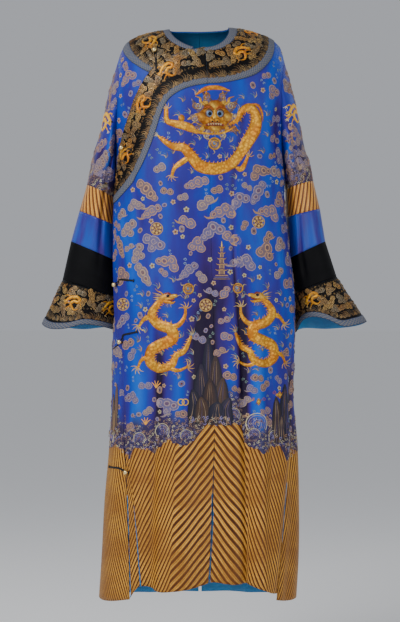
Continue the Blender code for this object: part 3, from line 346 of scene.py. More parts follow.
def flap_yoke():
    """Grid of (u, z) of the overlap from its slanting edge down to the yoke line."""
    station = np.linspace(0, len(FLAP_STATIONS) - 1, FRONT_COLUMNS + 1)
    edge = np.stack([read_at_number(FLAP_STATIONS, name, station) for name in ("edge_x", "edge_z")], 1)
    trim = np.stack([read_at_number(FLAP_STATIONS, name, station) for name in ("trim_x", "trim_z")], 1)
    along = np.gradient(trim, axis=0)
    along[0] = (-1.0, 0.0)
    across = unit(np.stack([along[:, 1], -along[:, 0]], 1))
    across = np.where((across * (edge - trim)).sum(1, keepdims=True) > 0, across, -across)
    toward_side = ease((station - FLAP_TURN_STATION) / FLAP_TURN_STATIONS)[:, None]
    across = across * (1 - toward_side) + np.array([[0.0, SIDE_SLANT]]) * toward_side
    inner, outer = trim + across * FLAP_TRIM_HALF, trim - across * FLAP_TRIM_HALF
    last_u = straight(EDGES, "z", "overlap_u", YOKE_Z)
    seam_u = front_seam_u(YOKE_Z)
    yoke_u = seam_u + (last_u - seam_u) * flap_shares()
    bottom = body(yoke_u, YOKE_Z)[:, [0, 2]]
    grid = [edge + (inner - edge) * share for share in FLAP_SHARES]
    grid.append(outer)
    grid.extend(outer + (bottom - outer) * share for share in YOKE_SHARES)
    grid = np.array(grid)
    x, z = grid[..., 0], grid[..., 1]
    x[:, 0] = read(FRONT_SEAM, "z", "x", z[:, 0])
    u = share_of_girth(x, z)
    u[:, -1] = straight(EDGES, "z", "overlap_u", z[:, -1])
    u[-1] = yoke_u
    return u, z


def skirt(first_u, last_u, shares, back):
    """Grid of (u, z) from the yoke line to the hem, between two edges given level by level."""
    share = shares[None, :]
    levels = np.array((YOKE_Z,) + LEVEL_ROWS)[:, None] + 0 * share
    vent = np.array(VENT_SHARES)[:, None]
    low = VENT_Z + (hem_z(0.0, back) - VENT_Z) * vent + 0 * share
    for _ in range(3):
        u = first_u(low) + (last_u(low) - first_u(low)) * share
        low = VENT_Z + (hem_z(u, back) - VENT_Z) * vent
    z = np.concatenate([levels, low])
    return first_u(z) + (last_u(z) - first_u(z)) * share, z


def finer_line(values, times):
    """A smooth curve through the rows of an array, with `times` steps for each of its own."""
    count = len(values)
    ends = np.concatenate([2 * values[:1] - values[1:2], values, 2 * values[-1:] - values[-2:-1]])
    at = np.linspace(0, count - 1, (count - 1) * times + 1)
    i = np.minimum(at.astype(int), count - 2)
    t = (at - i).reshape((-1,) + (1,) * (values.ndim - 1))
    a, b, c, d = ends[i], ends[i + 1], ends[i + 2], ends[i + 3]
    return b + 0.5 * t * (c - a + t * (2 * a - 5 * b + 4 * c - d + t * (3 * (b - c) + d - a)))


def finer(grid, down, across, breaks=()):
    """A grid refined both ways; the curves may turn sharply at the columns in `breaks`."""
    grid = finer_line(grid, down)
    stops = [0, *breaks, grid.shape[1] - 1]
    spans = [finer_line(grid[:, a:b + 1].T, across).T for a, b in zip(stops, stops[1:])]
    return np.concatenate([spans[0], *(span[:, 1:] for span in spans[1:])], axis=1)


def lay_grid(bm, points, cloth, form, flip):
    """One grid of cloth bent to the given points; each keeps its place on the flat cloth and the form."""
    rows, columns = points.shape[:2]
    made = bmesh.ops.create_grid(bm, x_segments=columns - 1, y_segments=rows - 1, size=1)["verts"]
    cloth_layer, form_layer = (bm.verts.layers.float_vector[name] for name in ("cloth", "form"))
    values = (grid.reshape(-1, 3) for grid in (points, cloth, form))
    for vert, place, on_cloth, on_form in zip(made, *values):
        vert.co = place
        vert[cloth_layer] = on_cloth
        vert[form_layer] = on_form
    if flip:
        bmesh.ops.reverse_faces(bm, faces=list({face for vert in made for face in vert.link_faces}))


def start_bmesh():
    bm = bmesh.new()
    for name in ("cloth", "form"):
        bm.verts.layers.float_vector.new(name)
    return bm


def merge(bm):
    bmesh.ops.remove_doubles(bm, verts=bm.verts, dist=MERGE_DISTANCE)


def draw_in(bm, gap_at):
    """Draws the open edges in, to leave the gap of a seam or a vent."""
    moves = {}
    for edge in bm.edges:
        if edge.is_boundary:
            a, b = edge.verts
            along = (b.co - a.co).normalized()
            inward = edge.link_faces[0].calc_center_median() - a.co
            inward = (inward - along * inward.dot(along)).normalized()
            for vert in (a, b):
                moves.setdefault(vert, []).append(inward)
    for vert, found in moves.items():
        mean = sum(found, Vector()).normalized()
        vert.co += mean * gap_at(vert.co.z) / max(mean.dot(found[0]), 0.5)


def seam_half_gap(z):
    return SEAM_GAP / 2


def vent_half_gap(z):
    return SEAM_GAP / 2 + VENT_GAP / 2 * min(max((VENT_Z - z) / (VENT_Z - FRONT_HEM[0].z), 0.0), 1.0)


def show(name, data):
    shown = bpy.data.objects.new(name, data)
    bpy.context.scene.collection.objects.link(shown)
    return shown


def finish_mesh(name, bm):
    mesh = bpy.data.meshes.new(name)
    bm.to_mesh(mesh)
    bm.free()
    return mesh


def finish_piece(name, bm, materials, thickness=0.0, replaces=()):
    """Makes a bmesh a piece; a thickness gives it a wall inwards, with its second material inside."""
    mesh = finish_mesh(name, bm)
    for polygon in mesh.polygons:
        polygon.use_smooth = True
    piece = show(name, mesh)
    for made in materials:
        mesh.materials.append(made)
    if thickness:
        wall = piece.modifiers.new("wall", "SOLIDIFY")
        wall.thickness = thickness
        wall.offset = -1
        wall.use_even_offset = False
        wall.material_offset = len(materials) - 1
        wall.material_offset_rim = 0
    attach(piece, "root")
    if replaces:
        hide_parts(*replaces)
    return piece


# Where the slanting stripes of the skirt begin, across the front and across the back
FRONT_STRIPES = table(
    "x z",
    (-0.24, -1.024), (-0.2, -1.016), (-0.164, -1.041), (-0.154, -1.015), (-0.122, -1.018),
    (-0.11, -1.028), (-0.074, -0.993), (-0.045, -1.009), (-0.024, -1.003), (0.002, -0.977),
    (0.016, -0.95), (0.04, -0.96), (0.064, -0.955), (0.095, -0.96), (0.105, -1.005), (0.138, -1.019),
    (0.152, -1.029), (0.167, -1.012), (0.19, -1.012), (0.205, -1.048), (0.229, -1.029),
)
BACK_STRIPES = table(
    "x z",
    (-0.24, -1.03), (-0.2, -1.012), (-0.165, -1.036), (-0.12, -0.992), (-0.08, -1.01), (-0.04, -0.966),
    (0.0, -0.95), (0.045, -0.97), (0.085, -1.006), (0.125, -0.994), (0.16, -1.034), (0.2, -1.014),
    (0.24, -1.03),
)

GIRTH_U = np.linspace(-2.0, 2.0, 161)
GIRTH_Z = np.linspace(0.0, -1.42, 72)


def distances(points):
    """How far along its line each point lies; the lines run along the first axis."""
    steps = np.linalg.norm(np.diff(points, axis=0), axis=-1)
    return np.concatenate([0 * steps[:1], np.cumsum(steps, axis=0)])


def girth_table():
    """Distance round the body from the middle of the front, for each u and level."""
    steps = np.linalg.norm(np.diff(body(GIRTH_U[None, :], GIRTH_Z[:, None]), axis=1), axis=-1)
    total = np.concatenate([np.zeros((len(GIRTH_Z), 1)), np.cumsum(steps, axis=1)], axis=1)
    return total - total[:, [len(GIRTH_U) // 2]]


GIRTH = girth_table()


def girth(u, z):
    row = np.clip((z - GIRTH_Z[0]) / (GIRTH_Z[1] - GIRTH_Z[0]), 0, len(GIRTH_Z) - 1.001)
    place = np.clip((u - GIRTH_U[0]) / (GIRTH_U[1] - GIRTH_U[0]), 0, len(GIRTH_U) - 1.001)
    i, j = row.astype(int), place.astype(int)
    s, t = row - i, place - j
    upper = GIRTH[i, j] * (1 - t) + GIRTH[i, j + 1] * t
    lower = GIRTH[i + 1, j] * (1 - t) + GIRTH[i + 1, j + 1] * t
    return upper * (1 - s) + lower * s


def cloth_values(u, z, points, back):
    """Each point's distance from the panel's middle seam, its level, its depth below the stripes' edge."""
    z = np.asarray(z, dtype=float)
    if back:
        from_seam = girth(2.0 + 0 * u, z) - np.abs(girth(u, z))
    else:
        from_seam = np.abs(girth(u, z) - girth(front_seam_u(z), z))
    x = points[..., 0]
    top = straight(BACK_STRIPES if back else FRONT_STRIPES, "x", "z", x)
    top = top + 0.0035 * np.sin(x * 330) * np.sin(x * 91 + 1)
    return np.stack([from_seam, z, top - z], -1)


def raise_verts(bm, rises):
    lifts = [vert.normal * rise for vert, rise in zip(bm.verts, rises)]
    for vert, lift in zip(bm.verts, lifts):
        vert.co += lift


def panel(upper, lower, flip, back, rise_at=None):
    """A panel from the fine grids of its yoke and its skirt, as a bmesh."""
    bm = start_bmesh()
    for u, z in (upper, lower):
        points = body(u, z)
        # the form's third value, the fold height, also paints shade into the hollows and sheen onto the
        # ridges of the blue silk
        lay_grid(bm, points, cloth_values(u, z, points, back), np.stack([u, z, fold_height(u, z)], -1), flip)
    merge(bm)
    bm.normal_update()
    if rise_at:
        form = bm.verts.layers.float_vector["form"]
        x, u, z = np.array([(vert.co.x, vert[form].x, vert.co.z) for vert in bm.verts]).T
        raise_verts(bm, rise_at(x, u, z))
    return bm


def front_rise(x, u, z):
    """The left front is level with the overlap at the middle, and with the back at the side seam."""
    from_side = ease((share_of_girth(armhole_x(z, 1), z) - u) / LIFT_SIDE_SHARE)
    return FRONT_LIFT * from_side * ease((shoulder_z(x) - z) / LIFT_SHOULDER_DROP)


def overlap_rise(x, u, z):
    return FRONT_LIFT + 0 * z


def node(tree, kind, inputs=None, **settings):
    """A shader node with its sockets set, or linked where a socket is given."""
    made = tree.nodes.new("ShaderNode" + kind)
    for key, value in settings.items():
        setattr(made, key, value)
    for key, value in (inputs or {}).items():
        if isinstance(value, bpy.types.NodeSocket):
            tree.links.new(value, made.inputs[key])
        else:
            made.inputs[key].default_value = value
    return made


def maths(operation, a, b=0.0):
    return node(a.id_data, "Math", {0: a, 1: b}, operation=operation).outputs[0]


def noise(vector, scale, detail, stretch=None):
    """Soft uneven patches; a stretch draws them out one way."""
    if stretch:
        vector = node(vector.id_data, "Mapping", {"Vector": vector, "Scale": stretch}).outputs[0]
    return node(vector.id_data, "TexNoise", {"Vector": vector, "Scale": scale, "Detail": detail}).outputs[0]


def blend_colour(share, first, second, mode="MIX"):
    """Mixes two colours; the share or the first colour is a socket."""
    tree = (share if isinstance(share, bpy.types.NodeSocket) else first).id_data
    first, second = ((*value, 1.0) if isinstance(value, tuple) else value for value in (first, second))
    return node(tree, "Mix", {0: share, 6: first, 7: second}, data_type="RGBA", blend_type=mode).outputs[2]


def ramp(share, *stops):
    """Colours from stop to stop; a single number is a grey."""
    made = node(share.id_data, "ValToRGB", {0: share})
    elements = made.color_ramp.elements
    while len(elements) < len(stops):
        elements.new(0.5)
    for element, (position, colour) in zip(elements, stops):
        element.position = position
        element.color = (*(colour if isinstance(colour, tuple) else (colour,) * 3), 1.0)
    return made.outputs[0]


def start_material(name, roughness, metallic=0.0, gloss=0.5):
    """A Principled material with the values that are the same all over it."""
    made = bpy.data.materials.new(name)
    made.use_nodes = True
    surface = made.node_tree.nodes["Principled BSDF"]
    surface.inputs["Roughness"].default_value = roughness
    surface.inputs["Metallic"].default_value = metallic
    surface.inputs["Specular IOR Level"].default_value = gloss
    return made, made.node_tree, surface


def attribute(tree, name):
    """The three values that each point of the cloth keeps."""
    vector = node(tree, "Attribute", attribute_name=name).outputs["Vector"]
    return vector, *node(tree, "SeparateXYZ", {0: vector}).outputs


def weave(surface, colour, vector, height, relief=None, scale=(1500, 500, 1)):
    """Gives a material its colour and fine threads of satin, long one way, with any other relief added."""
    threads = noise(vector, 1.0, 2.0, scale)
    if relief is not None:
        threads = maths("ADD", threads, relief)
    bump = node(vector.id_data, "Bump", {"Height": threads, "Strength": 0.35, "Distance": height})
    vector.id_data.links.new(colour, surface.inputs["Base Color"])
    vector.id_data.links.new(bump.outputs[0], surface.inputs["Normal"])


def stripe_colour(place, period, vector):
    """Gold stripes, each with finer threads in it: one runs wherever place is the same. Random patches of
    them are darkened to orange-brown as painted shade.
    """
    patchy_noise = noise(vector, 9.0, 3.0)
    wobble = maths("MULTIPLY", maths("SUBTRACT", patchy_noise, 0.5), 0.3 * period)
    share = maths("FRACT", maths("DIVIDE", maths("ADD", place, wobble), period))
    bands = ramp(
        share,
        (0.0, (0.8, 0.38, 0.05)), (0.14, (1.0, 0.54, 0.09)), (0.23, (0.34, 0.115, 0.01)),
        (0.32, (0.86, 0.42, 0.055)), (0.44, (0.62, 0.26, 0.03)), (0.51, (0.1, 0.026, 0.004)),
        (0.82, (0.055, 0.014, 0.003)), (0.91, (0.28, 0.09, 0.01)), (1.0, (0.8, 0.38, 0.05)),
    )
    # painted shade: random patches turned dark orange-brown, as folds shade the stripes, though not placed at
    # the folds
    shade_patched_stripes = blend_colour(ramp(patchy_noise, (0.4, 0), (0.64, 0.55)), bands, (0.22, 0.07, 0.01))
    lit = ramp(noise(vector, 1.0, 1.0, (900, 260, 1)), (0.3, 0.5), (0.7, 1))
    return blend_colour(0.75, shade_patched_stripes, lit, "MULTIPLY"), share


def make_ground_silk():
    """Blue silk satin, darker and more violet in the hollows of its folds and brighter on their ridges as
    painted shade and painted sheen, that turns to gold stripes below the waves.
    """
    made, tree, surface = start_material("embroidered_blue_silk", 0.46, gloss=0.24)
    vector, from_seam, level, zone = attribute(tree, "cloth")
    form_vector, _, _, fold = attribute(tree, "form")
    cloudy = noise(form_vector, 5.0, 3.0)
    # painted shade and painted sheen: the fold height kept on the cloth turns the blue dark violet in the
    # hollows and bright azure on the ridges; patches of noise vary it as well
    depth = maths("ADD", maths("MULTIPLY", fold, 60.0), maths("MULTIPLY", cloudy, 0.95))
    blue = ramp(
        depth,
        (0.0, (0.01, 0.003, 0.026)), (0.2, (0.028, 0.009, 0.12)), (0.42, (0.018, 0.018, 0.27)),
        (0.6, (0.001, 0.054, 0.43)), (0.95, (0.001, 0.13, 0.6)),
    )
    shore = maths("ADD", zone, maths("MULTIPLY", maths("SUBTRACT", cloudy, 0.5), 0.1))
    foamy = ramp(maths("ADD", maths("MULTIPLY", shore, 8.0), 1.0), (0.28, 0), (0.62, 0.92))
    sea = blend_colour(foamy, blue, (0.034, 0.02, 0.048))
    beyond = maths("MAXIMUM", maths("SUBTRACT", from_seam, 0.095), 0.0)
    slant = maths("ADD", maths("MULTIPLY", from_seam, 1.25), maths("MULTIPLY", beyond, 1.3))
    place = maths("ADD", level, slant)
    gold, share = stripe_colour(place, 0.0215, vector)
    is_gold = maths("GREATER_THAN", zone, 0.0)
    ridges = maths("MULTIPLY", maths("PINGPONG", share, 0.5), maths("MULTIPLY", is_gold, 1.6))
    weave(surface, blend_colour(is_gold, sea, gold), vector, 0.0004, ridges)
    return made


def make_plain_silk(name, colour, light, roughness=0.42, gloss=0.4, streak=(9, 9, 9)):
    """Plain silk satin whose colour goes unevenly between two tones in soft patches, drawn out the way its
    folds run.
    """
    made, tree, surface = start_material(name, roughness, gloss=gloss)
    vector = attribute(tree, "cloth")[0]
    share = ramp(noise(vector, 1.0, 4.0, streak), (0.36, 0), (0.64, 1))
    weave(surface, blend_colour(share, colour, light), vector, 0.0003)
    return made


ground_silk = make_ground_silk()
lining_silk = make_plain_silk("lining_silk", (0.01, 0.13, 0.33), (0.02, 0.23, 0.48))


def constant_u(u):
    return lambda z: u + 0 * z


def edge_u(name):
    return lambda z: straight(EDGES, "z", name, z)


def keep_faces(store, bm):
    """Keeps a copy of a piece's faces, to lay embroidery on them later."""
    bm.verts.index_update()
    points = [vert.co.copy() for vert in bm.verts]
    store.append((points, [[vert.index for vert in face.verts] for face in bm.faces]))


def faces_tree(store):
    points, faces = [], []
    for found, their_faces in store:
        faces.extend([number + len(points) for number in face] for face in their_faces)
        points.extend(found)
    return BVHTree.FromPolygons(points, faces)


# The sleeves' first rings give the armholes, so the sleeves' sizes stand here: the outer and the inner
# end of each ring seen from the front, how far back its middle lies, and its half-depth
RIGHT_SLEEVE = table(
    "outer_x outer_z inner_x inner_z middle_y half_depth",
    (0.2005, -0.076, 0.2065, -0.36, 0.0, 0.052), (0.211, -0.109, 0.207, -0.3635, 0.004, 0.056),
    (0.2222, -0.144, 0.2074, -0.3675, 0.009, 0.06), (0.2348, -0.2, 0.2079, -0.374, 0.016, 0.063),
    (0.245, -0.25, 0.2084, -0.381, 0.022, 0.064), (0.2578, -0.285, 0.209, -0.389, 0.027, 0.063),
    (0.2701, -0.335, 0.2097, -0.398, 0.031, 0.061), (0.279, -0.377, 0.2105, -0.407, 0.035, 0.059),
    (0.298, -0.441, 0.209, -0.477, 0.042, 0.055), (0.319, -0.5157, 0.207, -0.5637, 0.048, 0.051),
    (0.3406, -0.6113, 0.206, -0.652, 0.053, 0.048), (0.391, -0.7154, 0.206, -0.7357, 0.058, 0.058),
)
LEFT_SLEEVE = table(
    "outer_x outer_z inner_x inner_z middle_y half_depth",
    (0.2055, -0.072, 0.207, -0.36, 0.0, 0.052), (0.2135, -0.101, 0.2074, -0.3625, 0.004, 0.056),
    (0.223, -0.13, 0.2077, -0.365, 0.009, 0.06), (0.234, -0.177, 0.2081, -0.3685, 0.016, 0.063),
    (0.2467, -0.235, 0.2085, -0.3725, 0.022, 0.064), (0.2585, -0.29, 0.2089, -0.377, 0.027, 0.063),
    (0.2722, -0.328, 0.2094, -0.382, 0.031, 0.061), (0.2795, -0.367, 0.21, -0.3875, 0.035, 0.059),
    (0.2965, -0.436, 0.212, -0.4575, 0.042, 0.055), (0.31, -0.5157, 0.2175, -0.559, 0.048, 0.051),
    (0.3385, -0.6027, 0.23, -0.643, 0.055, 0.048), (0.413, -0.7142, 0.233, -0.739, 0.06, 0.058),
)

yokes = {
    "front_left": yoke(1, False, FRONT_COLUMNS),
    "front_overlap": flap_yoke(),
    "underlap": yoke(-1, False, UNDERLAP_COLUMNS, UNDERLAP_TOP_FAN, UNDERLAP_INNER_U),
    "back_left": yoke(1, True, BACK_COLUMNS),
    "back_right": yoke(-1, True, BACK_COLUMNS),
}
even_front, even_under, even_back = (
    np.linspace(0, 1, count + 1) for count in (FRONT_COLUMNS, UNDERLAP_COLUMNS, BACK_COLUMNS)
)
left_u, right_u = edge_u("left_seam_u"), edge_u("right_seam_u")
skirts = {
    "front_left": skirt(front_seam_u, left_u, even_front, False),
    "front_overlap": skirt(front_seam_u, edge_u("overlap_u"), flap_shares(), False),
    "underlap": skirt(constant_u(UNDERLAP_INNER_U), right_u, even_under, False),
    "back_left": skirt(constant_u(2.0), left_u, even_back, True),
    "back_right": skirt(constant_u(-2.0), right_u, even_back, True),
}
# Each panel: its solids, whether its grid faces in, its columns, how far it lies out, its cut cloth
PANELS = table(
    "name nodes flip columns rise flat area",
    ("front_left", ("front_left",), True, FRONT_COLUMNS, front_rise, (0.28, 1.42), 0.325),
    ("front_overlap", ("front_overlap",), False, None, overlap_rise, (0.27, 1.36), 0.3),
    ("underlap", ("underlap", "underlap_skirt"), False, UNDERLAP_COLUMNS, None, (0.22, 1.41), 0.24),
    ("back_left", ("back_left",), False, BACK_COLUMNS, None, (0.36, 1.45), 0.435),
    ("back_right", ("back_right", "back_right_skirt"), True, BACK_COLUMNS, None, (0.38, 1.45), 0.457),
)
YOKE_TIMES, SKIRT_TIMES, ACROSS_TIMES = 4, 7, 6
outer_cloth, border_points = [], []
fine_yokes = {}
for plan in PANELS:
    breaks = (plan.columns, plan.columns + SIDE_COLUMNS) if plan.columns else ()
    back = plan.name.startswith("back")
    fine_yokes[plan.name] = [finer(grid, YOKE_TIMES, ACROSS_TIMES, breaks) for grid in yokes[plan.name]]
    lower = [finer(grid, SKIRT_TIMES, ACROSS_TIMES) for grid in skirts[plan.name]]
    cut = panel(fine_yokes[plan.name], lower, plan.flip, back, plan.rise)
    draw_in(cut, vent_half_gap)
    border_points.extend((vert.co.copy(), plan.name) for vert in cut.verts if vert.is_boundary)
    keep_faces(outer_cloth, cut)
    cloths = (ground_silk, lining_silk)
    made = finish_piece(f"{plan.name}_cloth", cut, cloths, CLOTH, plan.nodes)
robe_tree = faces_tree(outer_cloth)

# ----------------------------------------
# The sleeves: an upper sleeve of the embroidered silk, then bands of gold striped, plain blue and
# black silk, and a flared horse-hoof cuff of black silk with a blue lining. Each is a tube.
CUFF_WAVES = table(
    "angle right_rise left_rise",
    (0, -0.003, 0.0), (44, -0.014, -0.004), (70, -0.009, -0.004), (98, 0.006, 0.02), (120, 0.006, 0.03),
    (142, 0.003, 0.024), (160, 0.0, 0.0), (180, 0.0, -0.002), (225, 0.004, 0.004), (270, -0.008, -0.006),
    (315, -0.006, -0.008), (360, -0.003, 0.0),
)
# Folds: the angle round the sleeve at top and bottom, half-width in degrees, height, first and last ring
SLEEVE_FOLDS = table(
    "side top_angle end_angle width height first last",
    (-1, 96, 92, 14, 0.006, 1.0, 10.0), (-1, 116, 106, 6, -0.008, 0.6, 9.8),
    (-1, 150, 150, 18, -0.005, 2.0, 9.0), (-1, 285, 270, 24, 0.006, 1.0, 10.0),
    (1, 105, 120, 22, 0.007, 1.0, 10.0), (1, 78, 85, 18, -0.005, 4.0, 10.0),
    (1, 280, 265, 24, 0.006, 1.0, 10.0), (-1, 66, 58, 9, -0.003, 3.0, 9.5),
    (-1, 134, 138, 8, -0.0025, 1.5, 9.0), (-1, 45, 40, 8, 0.0022, 2.5, 7.5),
    (-1, 240, 225, 12, -0.003, 2.0, 9.0), (-1, 320, 310, 12, -0.0028, 3.0, 9.5),
    (1, 60, 52, 9, -0.0028, 2.0, 9.0), (1, 135, 138, 8, -0.008, 1.0, 8.5),
    (1, 84, 80, 6, -0.006, 1.0, 7.0), (1, 104, 112, 6, -0.008, 6.5, 10.0),
    (1, 240, 228, 12, -0.003, 2.0, 9.0), (1, 320, 308, 12, -0.0028, 3.0, 9.5),
)
SLEEVE_FOLD_EASE = 0.2
ARMHOLE_BLEND_RINGS = 3
SLEEVE_ANGLES = 96
CUFF_RING = 10


def armhole_loop(side):
    """The armhole from the shoulder down the front to the armpit and up the back."""
    x, z = armhole_points(side)
    u, back_u = share_of_girth(x, z), share_of_girth(x, z, True)
    u[0] = float(side)
    times = SLEEVE_ANGLES // (2 * ARMHOLE_COLUMNS)
    front = body(finer_line(u, times), finer_line(z, times))
    back_u[0] = float(side)
    back = body(finer_line(back_u, times), finer_line(z, times))
    return np.concatenate([front[::-1], back[1:]])


def sleeve_fold_height(side, places, degrees):
    height = 0 * places * degrees
    for fold in SLEEVE_FOLDS:
        if fold.side == side:
            run = (places - fold.first) / (fold.last - fold.first)
            middle = fold.top_angle + (fold.end_angle - fold.top_angle) * run
            grown = ease(run / SLEEVE_FOLD_EASE) * ease((1 - run) / SLEEVE_FOLD_EASE)
            height = height + fold.height * grown * np.exp(-(((degrees - middle) / fold.width) ** 2))
    return height


def sleeve_points(side, places, turns):
    """Points of a sleeve at places along its rings and angles round it (0 outermost, then the front)."""
    rows = LEFT_SLEEVE if side > 0 else RIGHT_SLEEVE
    places, turns = np.broadcast_arrays(np.asarray(places, dtype=float), np.asarray(turns, dtype=float))
    at = {name: np.interp(places, np.arange(len(rows)), column(rows, name)) for name in rows[0]._fields}
    degrees = np.degrees(turns)
    x = (at["outer_x"] + at["inner_x"]) / 2 + (at["outer_x"] - at["inner_x"]) / 2 * np.cos(turns)
    z = (at["outer_z"] + at["inner_z"]) / 2 + (at["outer_z"] - at["inner_z"]) / 2 * np.cos(turns)
    depth = at["half_depth"] + sleeve_fold_height(side, places, degrees)
    wave = read(CUFF_WAVES, "angle", "left_rise" if side > 0 else "right_rise", degrees)
    z = z + wave * ease(places - CUFF_RING)
    return np.stack([side * x, at["middle_y"] - depth * np.sin(turns), z], axis=-1)


def sleeve_grid(side, places, loop=None):
    """Grid of a stretch of sleeve, its distances round and along it, and its places on the form."""
    turns = np.linspace(0, 2 * pi, SLEEVE_ANGLES + 1)[None, :]
    places = np.asarray(places, dtype=float)[:, None]
    points = sleeve_points(side, places, turns)
    if loop is not None:
        own = ease(places / ARMHOLE_BLEND_RINGS)[..., None]
        points = points + (loop[None] - points[:1]) * (1 - own)
    radius = 0.055 + 0 * places
    aside = np.minimum(turns, 2 * pi - turns) * radius
    level = -distances(points.mean(axis=1))[:, None] + 0 * turns
    cloth = np.stack([aside, level, level[-1:] - level], -1)
    # the fold height, kept as the form's third value, also paints shade into the hollows and sheen onto the
    # ridges of the blue silk
    folds = sleeve_fold_height(side, places, np.degrees(turns))
    form = np.stack([side * (3.0 + aside / METRES_PER_U), level, folds], -1)
    return points, cloth, form


def make_striped_silk():
    """Silk woven in slanting gold and brown stripes, their colours multiplied half again as bright as the
    hem's: painted light.
    """
    made, tree, surface = start_material("gold_striped_silk", 0.4, gloss=0.4)
    vector, aside, level, _ = attribute(tree, "cloth")
    place = maths("ADD", aside, maths("MULTIPLY", level, 0.42))
    gold, share = stripe_colour(place, 0.015, vector)
    # painted light: the same stripe colours as the hem's, multiplied up as if more strongly lit
    painted_lit_stripes = blend_colour(1.0, gold, (1.5, 1.48, 1.65), "MULTIPLY")
    ridges = maths("MULTIPLY", maths("PINGPONG", share, 0.5), 1.6)
    weave(surface, painted_lit_stripes, vector, 0.0004, ridges)
    return made


striped_silk = make_striped_silk()
plain_blue = make_plain_silk("plain_blue_silk", (0.035, 0.012, 0.21), (0.004, 0.065, 0.42), streak=(45, 5, 5))
black_silk = make_plain_silk("black_silk", (0.0016, 0.0016, 0.0022), (0.005, 0.005, 0.006), 0.6, 0.09)
black_satin = make_plain_silk("black_satin", (0.002, 0.0018, 0.0022), (0.006, 0.005, 0.005), 0.5, 0.1)

SLEEVE_BANDS = table(
    "name first last rows cloth slot flat area",
    ("upper", 0, 7, 70, ground_silk, "blue_silk", (0.26, 0.33), 0.064),
    ("stripe", 7, 8, 14, striped_silk, "gold_striped_silk", (0.31, 0.076), 0.022),
    ("blue", 8, 9, 16, plain_blue, "plain_blue_silk", (0.33, 0.095), 0.0285),
    ("black", 9, 10, 18, black_silk, "black_silk", (0.35, 0.1), 0.031),
    ("cuff", 10, 11, 24, black_satin, "gold_embroidered_black_silk", (0.44, 0.115), 0.043),
)
sleeve_trees = {}
for side, word in ((1, "left"), (-1, "right")):
    outer_sleeve = []
    for band in SLEEVE_BANDS:
        sleeve = start_bmesh()
        places = np.linspace(band.first, band.last, band.rows + 1)
        points, cloth, form = sleeve_grid(side, places, armhole_loop(side) if band.first == 0 else None)
        lay_grid(sleeve, points, cloth, form, side < 0)
        merge(sleeve)
        draw_in(sleeve, seam_half_gap)
        keep_faces(outer_sleeve, sleeve)
        node_name = f"sleeve_{word}_{band.name}"
        cloths = (band.cloth, lining_silk)
        made = finish_piece(f"{node_name}_cloth", sleeve, cloths, CLOTH, (node_name,))
    sleeve_trees[side] = faces_tree(outer_sleeve)

# ----------------------------------------
# The collar and the edges: a shaped band of black silk round the neck and down the overlap, edged
# with grey-blue lattice braid; the same braid binds the neck and edges the cuffs. All are sewn on top
# of the cloth.
BAND = 0.001
BRAID_CROWN = 0.0005
CUFF_TRIM = 0.016
TRIM_SHARE = CUFF_TRIM / 0.105  # the cuff's braid takes this share of its length


def lay_strip(bm, name, first, last, columns=slice(None)):
    """A strip of a panel's yoke, from one neck ring to another, with its distances along and across."""
    plan = next(plan for plan in PANELS if plan.name == name)
    u, z = (grid[YOKE_TIMES * first:YOKE_TIMES * last + 1, columns] for grid in fine_yokes[name])
    points = body(u, z)
    along = distances(points[len(points) // 2])[None, :] + 0 * u
    across = distances(points)
    rise = plan.rise(points[..., 0], u, z) if plan.rise else 0 * u
    cloth = np.stack([along, across, across / across[-1:]], -1)
    lay_grid(bm, points, cloth, np.stack([u, z, rise], -1), plan.flip)


def lift_strip(bm, crown):
    """Lifts a strip to where it is sewn on the cloth, fuller along its middle if it has a crown."""
    merge(bm)
    bm.normal_update()
    cloth, form = (bm.verts.layers.float_vector[name] for name in ("cloth", "form"))
    rises = [vert[form].z + SEAM_GAP + BAND + crown * sin(pi * vert[cloth].z) for vert in bm.verts]
    raise_verts(bm, rises)
    draw_in(bm, seam_half_gap)


def make_braid():
    """Grey-blue silk braid woven as a lattice, with a plain line along each edge."""
    made, tree, surface = start_material("grey_blue_braid", 0.6, gloss=0.25)
    vector, along, across, share = attribute(tree, "cloth")
    lines = []
    for operation in ("ADD", "SUBTRACT"):
        slant = maths("DIVIDE", maths(operation, along, across), 0.0066)
        lines.append(maths("PINGPONG", maths("FRACT", slant), 0.5))
    lattice = maths("MINIMUM", lines[0], lines[1])
    edge = maths("PINGPONG", share, 0.5)
    patchy_noise = noise(vector, 30.0, 3.0)
    colour = blend_colour(patchy_noise, (0.034, 0.062, 0.13), (0.08, 0.095, 0.145))
    colour = blend_colour(ramp(lattice, (0.05, 1), (0.15, 0)), colour, (0.19, 0.17, 0.145))
    colour = blend_colour(ramp(edge, (0.05, 1), (0.09, 0)), colour, (0.03, 0.045, 0.1))
    weave(surface, colour, vector, 0.0004, maths("MULTIPLY", lattice, 2.0))
    return made


